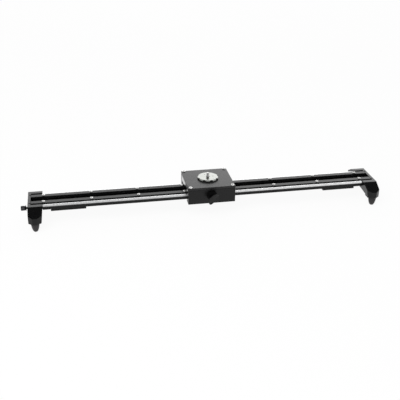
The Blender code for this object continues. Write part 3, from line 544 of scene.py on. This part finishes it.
def moulded(name, base, roughness, grain, depth, sheen=0.0, ior=1.5, painted_lit_front=None):
    """Moulded rubber or plastic: pebbled grain and cloudy tone.

    The last argument gives a second colour, painted light for a lit part, and the Y that the piece changes to
    it in front of.
    """
    material, tree, shader = start_finish(name)
    dark, light = tones(base, 0.75, 1.3)
    tone = blend(tree, spread(tree, noise(tree, 90), 0, 1), dark, light)
    if painted_lit_front:
        # Painted light: in front of the given Y the piece takes the lighter colour of its lit part
        worn_and_lit, where = painted_lit_front
        tone = blend(tree, past(tree, "Y", where), worn_and_lit, tone)
    tree.links.new(tone, shader.inputs["Base Color"])
    shader.inputs["IOR"].default_value = ior
    tree.links.new(spread(tree, noise(tree, grain / 4), roughness - 0.07, roughness + 0.07),
                   shader.inputs["Roughness"])
    shader.inputs["Sheen Weight"].default_value = sheen
    relief(tree, shader, noise(tree, grain, detail=2), depth, 0.7)
    return material


def finish(name):
    """The named finish, made once from the colours in the scene."""
    if name in bpy.data.materials:
        return bpy.data.materials[name]
    look = bpy.context.scene.slider_finishes
    rough, worn_and_lit = look.anodised_roughness, look.worn_edge
    makers = {
        # Painted light in the deck's colour, painted shade in the walls' and end plates' colour
        "deck_anodising": lambda: anodised(name, look.deck_black_lit, rough, worn_and_lit, ior=1.37),
        "side_wall_anodising": lambda: anodised(name, look.wall_black_shaded, rough, worn_and_lit, ior=1.36),
        "end_plate_anodising": lambda: anodised(name, look.wall_black_shaded, rough - 0.08, worn_and_lit, coat=1.0),
        "rail_anodising": lambda: anodised(name, look.rail_black, rough, worn_and_lit, ior=1.31),
        "bracket_anodising": lambda: anodised(name, look.bracket_black, rough - 0.1, worn_and_lit, ior=1.36),
        "strip_anodising": lambda: anodised(name, look.strip_black, rough, worn_and_lit, ior=1.33, brushed=True),
        "rod_chroming": lambda: plated(name, look.rod_chrome, look.chrome_roughness, (8, 1, 1), 900,
                                       depth=0.0000002),
        "screw_steel": lambda: plated(name, look.screw_steel, 0.20),
        # Painted shade in the stud's threads, the knob's flutes and the disc's scallops
        "stud_steel": lambda: plated(name, look.stud_steel, 0.25, shade_reach=0.0008),
        "knob_steel": lambda: plated(name, look.knob_steel, 0.28, shade_reach=0.0010,
                                     collar=spot("end_knob")[0][0] + COLLAR_START),
        "black_oxide": lambda: oxide_steel(name, look.dark_steel),
        "grub_black": lambda: moulded(name, look.knob_plastic, 0.5, 2500, 0.00001, ior=1.2),
        "foot_rubber": lambda: moulded(name, look.foot_rubber, 0.62, 1600, 0.00004, 0.15, ior=1.4),
        # Brake knob: the wing in front is painted light on its lit face, the hub behind painted shade
        "knob_moulding": lambda: moulded(name, look.knob_plastic, 0.42, 2200, 0.00003, ior=1.12, painted_lit_front=(
            tuple(look.wing_lit_plastic), spot("carriage_front_wall")[0][1] - WING_START)),
        "bearing_acetal": lambda: moulded(name, look.bearing_plastic, 0.45, 1200, 0.00001),
        "disc_plating": lambda: plated(name, look.disc_chrome, 0.20, rings=spot("camera_disc")[2],
                                       shade_reach=0.004),
    }
    return makers[name]()


# Operators, one for each piece or group of like pieces

class SLIDER_OT_rail(bpy.types.Operator):
    """Extruded rail with its channel, rod cradles and lips"""
    bl_idname = "camera_slider.rail"
    bl_label = "Rail"

    def execute(self, context):
        rounded_copy("rail_extrusion", context.scene.slider_sizes.rail_round, finish("rail_anodising"))
        return {'FINISHED'}


class SLIDER_OT_strips(bpy.types.Operator):
    """Brushed clamp strips beside the channel"""
    bl_idname = "camera_slider.strips"
    bl_label = "Clamp strips"

    def execute(self, context):
        edge = context.scene.slider_sizes.strip_round
        for side in SIDES:
            node = side + "_clamp_strip"
            low, high = spot(node)[:2]
            strip = rounded_prism(node, low, high, 0, edge, edge, edge)
            kept_flat(show(strip, node, finish("strip_anodising")))
        return {'FINISHED'}


class SLIDER_OT_rods(bpy.types.Operator):
    """Chrome guide rods with chamfered ends and a tapped hole in each"""
    bl_idname = "camera_slider.rods"
    bl_label = "Guide rods"

    def execute(self, context):
        chamfer = context.scene.slider_sizes.rod_chamfer
        for side in SIDES:
            node = side + "_guide_rod"
            middle, size = spot(node)[2:]
            radius, half = size[2] / 2, size[0] / 2
            hole, deep = radius * 0.56, radius * 2.4
            profile = [(0, deep - half), (hole, deep - half), (hole, -half), (radius - chamfer, -half),
                       (radius, chamfer - half), (radius, half - chamfer), (radius - chamfer, half),
                       (hole, half), (hole, half - deep), (0, half - deep)]
            show(turned(node, profile, (1, 0, 0), middle, 96), node, finish("rod_chroming"))
        return {'FINISHED'}


class SLIDER_OT_strip_screws(bpy.types.Operator):
    """Button-head screws along both clamp strips"""
    bl_idname = "camera_slider.strip_screws"
    bl_label = "Strip screws"

    def execute(self, context):
        for side in SIDES:
            for index in range(1, 9):
                node = f"{side}_strip_screw_{index}"
                show(socket_screw(node, node, (0, 0, 1), STRIP_HEAD, True), node, finish("screw_steel"))
        return {'FINISHED'}


class SLIDER_OT_brackets(bpy.types.Operator):
    """End brackets with their sloping noses and foot bosses"""
    bl_idname = "camera_slider.brackets"
    bl_label = "End brackets"

    def execute(self, context):
        for end in ENDS:
            rounded_copy(end + "_end_bracket", context.scene.slider_sizes.machined_round,
                         finish("bracket_anodising"), BRACKET_BEVEL_ANGLE)
        return {'FINISHED'}


class SLIDER_OT_bracket_screws(bpy.types.Operator):
    """Socket bolts into the rods and the grub screws above them"""
    bl_idname = "camera_slider.bracket_screws"
    bl_label = "Bracket screws"

    def execute(self, context):
        for end, outward in zip(ENDS, (-1, 1)):
            for side in SIDES:
                grub = f"{end}_{side}_grub_screw"
                show(socket_screw(grub, grub, (0, 0, 1), HEADLESS, False, 24), grub, finish("grub_black"))
                bolt = f"{end}_{side}_rod_bolt"
                if bolt in frame["nodes"]:
                    mesh = socket_screw(bolt, bolt, (outward, 0, 0), BOLT_HEAD, False)
                    show(mesh, bolt, finish("black_oxide"))
        return {'FINISHED'}


class SLIDER_OT_end_knob(bpy.types.Operator):
    """Fluted thumb knob on its threaded shank"""
    bl_idname = "camera_slider.end_knob"
    bl_label = "End knob"

    def execute(self, context):
        sizes = context.scene.slider_sizes
        _, high, middle, size = spot("end_knob")
        sides, flutes = 96, 16
        flange, body, shank = size[2] / 2, size[2] / 2 * 0.862, size[2] / 2 * 0.431
        top, knob, edge, flange_thick = size[0], 0.011, 0.0005, 0.0015
        angle = np.linspace(0, 2 * math.pi, sides, endpoint=False)
        fluted = 1 - sizes.knurl_depth / body * np.sin(angle * flutes / 2) ** 2
        under = top - knob
        bands = [
            plain_band([(0, 0), (shank * 0.8, 0)], sides),
            threaded(shank, sizes.thread_depth, sizes.metric_thread * 0.8, 0.0004, under - 0.0004, sides, 6),
            plain_band([(shank, under), (flange - edge, under), (flange, under + edge),
                        (flange, under + flange_thick - edge), (flange - edge, under + flange_thick),
                        (body * 0.82, under + 0.0016), (body * 0.82, under + 0.0024)], sides),
            plain_band([(body * 0.9, under + 0.0026), (body, under + 0.0032), (body, top - 2 * edge),
                        (body * 0.88, top)], sides, fluted),
            plain_band([(body * 0.5, top), (body * 0.44, top - edge), (0, top - edge)], sides),
        ]
        radii, heights = stack_rings(*bands)
        rings = place(polar_rings(radii, heights), (-1, 0, 0), (high[0], middle[1], middle[2]))
        show(ring_surface("end_knob", rings, capped=False), "end_knob", finish("knob_steel"))
        return {'FINISHED'}


class SLIDER_OT_feet(bpy.types.Operator):
    """Rubber screw feet on threaded studs"""
    bl_idname = "camera_slider.feet"
    bl_label = "Screw feet"

    def execute(self, context):
        """The dome's radius is tip + (R - tip) sqrt(1 - s^1.7) at a share s of its height."""
        sizes = context.scene.slider_sizes
        sides, stud_long, stud = 64, 0.012, 0.003
        for end in ENDS:
            for side in SIDES:
                node = f"{end}_{side}_foot"
                low, _, middle, size = spot(node)
                radius = size[:2].max() / 2
                dome, tip, lip = size[2] - stud_long, 0.0018, 0.0005
                fall = np.linspace(0, 1, 26)
                curve = tip + (radius - tip) * np.sqrt(1 - fall ** 1.7)
                below = list(zip(curve[1:], -dome * fall[1:]))
                bands = [
                    plain_band([(0, stud_long), (stud - 0.0006, stud_long)], sides),
                    tuple(part[::-1] for part in threaded(
                        stud, sizes.thread_depth, sizes.metric_thread, 0.0003, stud_long - 0.0002, sides)),
                    plain_band([(stud - 0.0004, 0), (radius - lip, 0), (radius - 0.3 * lip, -0.3 * lip),
                                (radius, -lip)], sides),
                    plain_band(below[1:] + [(0, -dome)], sides),
                ]
                radii, heights = stack_rings(*bands)
                seat = (middle[0], middle[1], low[2] + dome)
                rings = place(polar_rings(radii, heights), (0, 0, 1), seat)
                show(ring_surface(node, rings, capped=False), node, finish("foot_rubber"))
        return {'FINISHED'}


class SLIDER_OT_tripod_plates(bpy.types.Operator):
    """Plates under the rail with their tripod sockets and screws"""
    bl_idname = "camera_slider.tripod_plates"
    bl_label = "Tripod plates"

    def execute(self, context):
        for end in ENDS:
            rounded_copy(end + "_tripod_plate", context.scene.slider_sizes.machined_round,
                         finish("rail_anodising"))
            for index in (1, 2):
                node = f"{end}_plate_screw_{index}"
                mesh = socket_screw(node, node, (0, 0, -1), PLATE_HEAD, False)
                show(mesh, node, finish("black_oxide"))
        return {'FINISHED'}


class SLIDER_OT_carriage_box(bpy.types.Operator):
    """Carriage deck, side walls and end plates"""
    bl_idname = "camera_slider.carriage_box"
    bl_label = "Carriage box"

    def execute(self, context):
        sizes = context.scene.slider_sizes
        low, high = spot("carriage_deck")[:2]
        deck = rounded_prism("carriage_deck", low, high, 2, sizes.deck_corner,
                             sizes.machined_round, sizes.deck_round)
        kept_flat(show(deck, "carriage_deck", finish("deck_anodising")))
        for side in SIDES:
            rounded_copy(f"carriage_{side}_wall", sizes.machined_round, finish("side_wall_anodising"))
        for end in ENDS:
            rounded_copy(f"carriage_{end}_end_plate", sizes.machined_round, finish("end_plate_anodising"))
        return {'FINISHED'}


class SLIDER_OT_deck_screws(bpy.types.Operator):
    """Button-head screws in the deck's corners"""
    bl_idname = "camera_slider.deck_screws"
    bl_label = "Deck screws"

    def execute(self, context):
        for end in ENDS:
            for side in SIDES:
                node = f"{end}_{side}_deck_screw"
                show(socket_screw(node, node, (0, 0, 1), DECK_HEAD, True), node, finish("screw_steel"))
        return {'FINISHED'}


class SLIDER_OT_sliding_blocks(bpy.types.Operator):
    """Plastic bearing blocks over the rods, and the brake shoe"""
    bl_idname = "camera_slider.sliding_blocks"
    bl_label = "Sliding blocks"

    def execute(self, context):
        edge = context.scene.slider_sizes.machined_round
        names = [f"{end}_{side}_bearing_block" for end in ENDS for side in SIDES] + ["brake_shoe"]
        for node in names:
            rounded_copy(node, edge, finish("bearing_acetal"))
        return {'FINISHED'}


class SLIDER_OT_camera_screw(bpy.types.Operator):
    """Threaded camera screw with its hexagon head inside the carriage"""
    bl_idname = "camera_slider.camera_screw"
    bl_label = "Camera screw"

    def execute(self, context):
        sizes = context.scene.slider_sizes
        low, _, middle, size = spot("camera_screw")
        sides, head, head_radius, major = 60, 0.004, size[0] / 2, 0.003175
        edge, top = 0.0005, size[2]
        bands = [
            plain_band([(0, 0), (head_radius * 0.9, 0), (head_radius, edge), (head_radius, head)],
                       sides, hexagon(sides)),
            plain_band([(major, head), (major, head + edge)], sides),
            threaded(major, sizes.thread_depth, sizes.camera_thread, head + edge, top - 2 * edge, sides, 10),
            plain_band([(major - sizes.thread_depth, top - edge), (major - 2 * sizes.thread_depth, top),
                        (0, top)], sides),
        ]
        radii, heights = stack_rings(*bands)
        rings = place(polar_rings(radii, heights), (0, 0, 1), (middle[0], middle[1], low[2]))
        show(ring_surface("camera_screw", rings, capped=False), "camera_screw", finish("stud_steel"))
        return {'FINISHED'}


class SLIDER_OT_camera_disc(bpy.types.Operator):
    """Scalloped disc under the camera, with three spanner holes"""
    bl_idname = "camera_slider.camera_disc"
    bl_label = "Camera disc"

    def execute(self, context):
        """The rim is R, or D cos d - sqrt(s^2 - (D sin d)^2) where a scallop of radius s, centred
        D from the axis, lies within the angle d of it.
        """
        low, _, middle, size = spot("camera_disc")
        rim, bore, thick, edge = 0.0231, 0.003475, size[2], 0.0008
        scallop, away, first, count = 0.0036, 0.0243, math.radians(19.0), 9
        columns = 720
        angle = np.linspace(0, 2 * math.pi, columns, endpoint=False)
        pitch = 2 * math.pi / count
        off = (angle - first + pitch / 2) % pitch - pitch / 2
        under = scallop ** 2 - (away * np.sin(off)) ** 2
        bite = away * np.cos(off) - np.sqrt(np.clip(under, 0, None))
        outline = np.where(under > 0, bite, rim)
        inner = [(bore, 0), (bore, thick - edge / 2), (bore + edge / 2, thick)]
        outer = [(2.9 * edge, thick), (1.9 * edge, thick - 0.25 * edge), (1.0 * edge, thick - 0.8 * edge),
                 (0.4 * edge, thick - 1.6 * edge), (0.1 * edge, thick - 2.6 * edge),
                 (0, thick - 3.6 * edge), (0, 0.4 * edge), (0.4 * edge, 0)]
        radii = np.concatenate([
            np.repeat([[point[0]] for point in inner], columns, axis=1),
            np.array([np.minimum(outline, rim - point[0]) for point in outer]),
            np.full((1, columns), bore)])
        heights = [point[1] for point in inner + outer] + [0]
        rings = place(polar_rings(radii, heights), (0, 0, 1), (middle[0], middle[1], low[2]))
        disc = show(ring_surface("camera_disc", rings, capped=False), "camera_disc", finish("disc_plating"))
        holes = []
        pins, circle, pin, past_face = 3, 0.011, 0.0011, 0.001
        profile = [(0, -past_face), (pin, -past_face), (pin, thick + past_face), (0, thick + past_face)]
        for index in range(pins):
            turn = 2 * math.pi * index / pins - math.radians(1.0)
            foot = (middle[0] + circle * math.cos(turn), middle[1] + circle * math.sin(turn), low[2])
            holes.append(turned("pin_hole", profile, (0, 0, 1), foot, 24))
        cut_away(disc, holes)
        kept_flat(disc)
        return {'FINISHED'}


class SLIDER_OT_brake(bpy.types.Operator):
    """Wing knob and threaded screw of the brake"""
    bl_idname = "camera_slider.brake"
    bl_label = "Brake knob"

    def execute(self, context):
        """Each ring is (1 - b) circle + b bar, where the bar is a straight band with round ends."""
        sizes = context.scene.slider_sizes
        columns = 96
        angle = (np.arange(columns) + 0.5) / columns * 2 * math.pi
        circle = np.stack([np.cos(angle), np.sin(angle)], axis=-1)
        half_span, half_thick = 0.0135, 0.004
        rows = np.array([
            # depth, radius, share of the bar, inset of the bar
            (0.0003, 0.0, 0, 0), (0.0003, 0.0104, 0, 0), (0.0006, 0.0108, 0, 0), (0.0012, 0.0110, 0, 0),
            (0.0026, 0.0110, 0, 0), (0.0033, 0.0104, 0, 0), (0.0042, 0.0092, 0, 0), (0.0056, 0.0078, 0, 0),
            (0.0074, 0.0067, 0, 0), (0.0100, 0.0062, 0, 0), (0.0128, 0.0062, 0, 0), (0.0138, 0.0062, 0.12, 0),
            (0.0146, 0.0062, 0.38, 0), (0.0153, 0.0062, 0.72, 0), (0.0160, 0.0062, 0.94, 0),
            (0.0168, 0.0062, 1, 0), (0.0240, 0.0062, 1, 0), (0.0250, 0.0062, 1, 0.0003),
            (0.0255, 0.0062, 1, 0.0007), (0.0258, 0.0062, 1, 0.0013)])
        depth, radius, bar, inset = (rows[:, [index]] for index in range(4))
        straight = np.sign(np.cos(angle))[None, :] * (half_span - half_thick)
        flat_x = straight + (half_thick - inset) * circle[None, :, 0]
        flat_z = (half_thick - inset) * circle[None, :, 1]
        x = (1 - bar) * radius * circle[None, :, 0] + bar * flat_x
        z = (1 - bar) * radius * circle[None, :, 1] + bar * flat_z
        lean = math.radians(38.0)
        turned_x = x * math.cos(lean) - z * math.sin(lean)
        turned_z = x * math.sin(lean) + z * math.cos(lean)
        low, _, middle, size = spot("brake_screw")
        wall = spot("carriage_front_wall")[0][1]
        rings = np.stack([middle[0] + turned_x, wall - depth + 0 * x, middle[2] + turned_z], axis=-1)
        show(ring_surface("brake_knob", rings), "brake_knob", finish("knob_moulding"))
        major, long, sides = size[0] / 2, size[1], 40
        core = major - sizes.thread_depth
        bands = [
            plain_band([(0, 0), (core, 0)], sides),
            threaded(major, sizes.thread_depth, sizes.metric_thread, 0.0004, long - 0.0006, sides),
            plain_band([(core, long), (0, long)], sides),
        ]
        radii, heights = stack_rings(*bands)
        screw = place(polar_rings(radii, heights), (0, 1, 0), (middle[0], low[1], middle[2]))
        show(ring_surface("brake_screw", screw, capped=False), "brake_screw", finish("black_oxide"))
        return {'FINISHED'}


class SLIDER_OT_stage(bpy.types.Operator):
    """Pale floor, soft light, white surroundings and the camera"""
    bl_idname = "camera_slider.stage"
    bl_label = "Stage"

    def execute(self, context):
        make_floor(context.scene.slider_finishes.floor_white)
        make_surroundings()
        soft_lamp("rear_softbox", (0.6, 3.0, 1.45), (0.3, 0.0, 0.03), (4.8, 1.7), 28.0, True)
        soft_lamp("upper_fill", (-1.1, -1.5, 2.3), (0.0, 0.0, 0.03), (2.4, 2.4), 60.0, False)
        make_camera()
        context.scene.view_settings.view_transform = 'Standard'
        return {'FINISHED'}


def make_floor(white):
    """Wide plane at floor level that keeps the slider's shadow and looks white to the camera.

    Camera and mirrored rays see mostly plain white, and the rest from the matt floor with its shadow.
    """
    reach, white_seen, white_mirrored = 20.0, 0.93, 0.8
    points = np.array([(-reach, -reach, 0), (reach, -reach, 0), (reach, reach, 0), (-reach, reach, 0)])
    mesh = bpy.data.meshes.new("floor")
    mesh.from_pydata(points.tolist(), [], [(0, 1, 2, 3)])
    floor = bpy.data.objects.new("floor", mesh)
    bpy.context.scene.collection.objects.link(floor)
    material, tree, shader = start_finish("studio_floor")
    mottle = blend(tree, spread(tree, noise(tree, 3), 0, 1), *tones(white, 0.98, 1.0))
    matt = add_node(tree, "ShaderNodeBsdfDiffuse", {"Color": mottle})
    white_light = add_node(tree, "ShaderNodeEmission", {"Color": (1, 1, 1, 1), "Strength": 1.0})
    path = add_node(tree, "ShaderNodeLightPath")
    direct = add_node(tree, "ShaderNodeMath", {
        0: path.outputs["Is Camera Ray"], 1: path.outputs["Is Transmission Ray"]}, operation='MAXIMUM')
    mirrored = add_node(tree, "ShaderNodeMath", {
        0: path.outputs["Is Glossy Ray"], 1: white_mirrored}, operation='MULTIPLY')
    shown = add_node(tree, "ShaderNodeMath", {
        0: direct.outputs[0], 1: white_seen}, operation='MULTIPLY')
    seen = add_node(tree, "ShaderNodeMath", {
        0: shown.outputs[0], 1: mirrored.outputs[0]}, operation='MAXIMUM')
    mixed = add_node(tree, "ShaderNodeMixShader", {
        0: seen.outputs[0], 1: matt.outputs[0], 2: white_light.outputs[0]})
    tree.links.new(mixed.outputs[0], tree.nodes["Material Output"].inputs["Surface"])
    tree.nodes.remove(shader)
    mesh.materials.append(material)


def make_surroundings():
    """White to the camera, a plain level of light, and a studio that only reflections see.

    The mirrored studio is white, with a narrow dark strip overhead along X, and is dimmer
    towards the front (-Y) and the left (-X).
    """
    plain_light, strip_y, strip_level, front_level, left_level = 0.45, 0.085, 0.03, 0.30, 0.70
    world = bpy.data.worlds.new("studio")
    bpy.context.scene.world = world
    world.use_nodes = True
    tree = world.node_tree
    tree.nodes.clear()
    direction = add_node(tree, "ShaderNodeTexCoord").outputs["Generated"]
    parts = add_node(tree, "ShaderNodeSeparateXYZ", {"Vector": direction}).outputs
    beside = add_node(tree, "ShaderNodeMath", {0: parts["Y"], 1: strip_y}, operation='SUBTRACT')
    aside = add_node(tree, "ShaderNodeMath", {0: beside.outputs[0]}, operation='ABSOLUTE')
    across = spread(tree, aside.outputs[0], strip_level, 1.0, 0.10, 0.17)
    below = spread(tree, parts["Z"], 1.0, 0.0, 0.5, 0.7)
    overhead = add_node(tree, "ShaderNodeMath", {0: across, 1: below}, operation='MAXIMUM').outputs[0]
    front = spread(tree, parts["Y"], front_level, 1.0, -0.85, -0.55)
    left = spread(tree, parts["X"], left_level, 1.0, 0.0, 0.25)
    walls = add_node(tree, "ShaderNodeMath", {0: front, 1: left}, operation='MULTIPLY').outputs[0]
    studio = add_node(tree, "ShaderNodeMath", {0: overhead, 1: walls}, operation='MULTIPLY').outputs[0]
    path = add_node(tree, "ShaderNodeLightPath")
    plain, mirrored, white = (
        add_node(tree, "ShaderNodeBackground", {"Color": (1, 1, 1, 1), "Strength": level}).outputs[0]
        for level in (plain_light, studio, 1.0))
    first = add_node(tree, "ShaderNodeMixShader", {0: path.outputs["Is Glossy Ray"], 1: plain, 2: mirrored})
    direct = add_node(tree, "ShaderNodeMath", {
        0: path.outputs["Is Camera Ray"], 1: path.outputs["Is Transmission Ray"]}, operation='MAXIMUM')
    second = add_node(tree, "ShaderNodeMixShader", {0: direct.outputs[0], 1: first.outputs[0], 2: white})
    output = add_node(tree, "ShaderNodeOutputWorld")
    tree.links.new(second.outputs[0], output.inputs["Surface"])


def soft_lamp(name, where, target, size, power, reflected):
    """Area lamp aimed at a point; its own shape shows in reflections only where asked."""
    light = bpy.data.lights.new(name, 'AREA')
    light.shape = 'RECTANGLE'
    light.size, light.size_y = size
    light.energy = power
    lamp = bpy.data.objects.new(name, light)
    lamp.location = where
    lamp.rotation_euler = (Vector(target) - Vector(where)).to_track_quat('-Z', 'Y').to_euler()
    lamp.visible_camera = False
    lamp.visible_glossy = reflected
    bpy.context.scene.collection.objects.link(lamp)


def make_camera():
    """Camera at the photograph's angle: above and a little left of the front, rolled slightly."""
    azimuth, elevation, roll = (math.radians(value) for value in (-11.06, 26.165, 0.574))
    target, distance = Vector((-0.0061, 0.00455, 0.01654)), 1.5767
    back = Vector((math.sin(azimuth) * math.cos(elevation), -math.cos(azimuth) * math.cos(elevation),
                   math.sin(elevation)))
    level = Vector((math.cos(azimuth), math.sin(azimuth), 0))
    right = level * math.cos(roll) + back.cross(level) * math.sin(roll)
    data = bpy.data.cameras.new("studio_camera")
    data.sensor_width = 36.0
    data.lens = 64.1
    camera = bpy.data.objects.new("studio_camera", data)
    turn = Matrix((right, back.cross(right), back)).transposed().to_4x4()
    camera.matrix_world = Matrix.Translation(target + back * distance) @ turn
    bpy.context.scene.collection.objects.link(camera)
    bpy.context.scene.camera = camera


PIECES = ("rail", "strips", "rods", "strip_screws", "brackets", "bracket_screws", "end_knob", "feet",
          "tripod_plates", "carriage_box", "deck_screws", "sliding_blocks", "camera_screw", "camera_disc",
          "brake")


class VIEW3D_PT_camera_slider(bpy.types.Panel):
    """Sidebar panel with the slider's sizes, finishes and pieces"""
    bl_label = "Camera slider"
    bl_space_type = 'VIEW_3D'
    bl_region_type = 'UI'
    bl_category = "Slider"

    def draw(self, context):
        for group in (context.scene.slider_sizes, context.scene.slider_finishes):
            box = self.layout.box()
            for key in group.__annotations__:
                box.prop(group, key)
        for key in PIECES + ("stage",):
            self.layout.operator("camera_slider." + key)


CLASSES = (
    SliderSizes, SliderFinishes, SLIDER_OT_rail, SLIDER_OT_strips, SLIDER_OT_rods, SLIDER_OT_strip_screws,
    SLIDER_OT_brackets, SLIDER_OT_bracket_screws, SLIDER_OT_end_knob, SLIDER_OT_feet,
    SLIDER_OT_tripod_plates, SLIDER_OT_carriage_box, SLIDER_OT_deck_screws, SLIDER_OT_sliding_blocks,
    SLIDER_OT_camera_screw, SLIDER_OT_camera_disc, SLIDER_OT_brake, SLIDER_OT_stage,
    VIEW3D_PT_camera_slider)


def register():
    """Add the classes and the scene's settings."""
    for item in CLASSES:
        bpy.utils.register_class(item)
    bpy.types.Scene.slider_sizes = bpy.props.PointerProperty(type=SliderSizes)
    bpy.types.Scene.slider_finishes = bpy.props.PointerProperty(type=SliderFinishes)


def unregister():
    """Take them away again."""
    del bpy.types.Scene.slider_finishes
    del bpy.types.Scene.slider_sizes
    for item in reversed(CLASSES):
        bpy.utils.unregister_class(item)


def main():
    """Build every piece and the stage."""
    register()
    for key in PIECES + ("stage",):
        getattr(bpy.ops.camera_slider, key)()


if __name__ == "__main__":
    main()
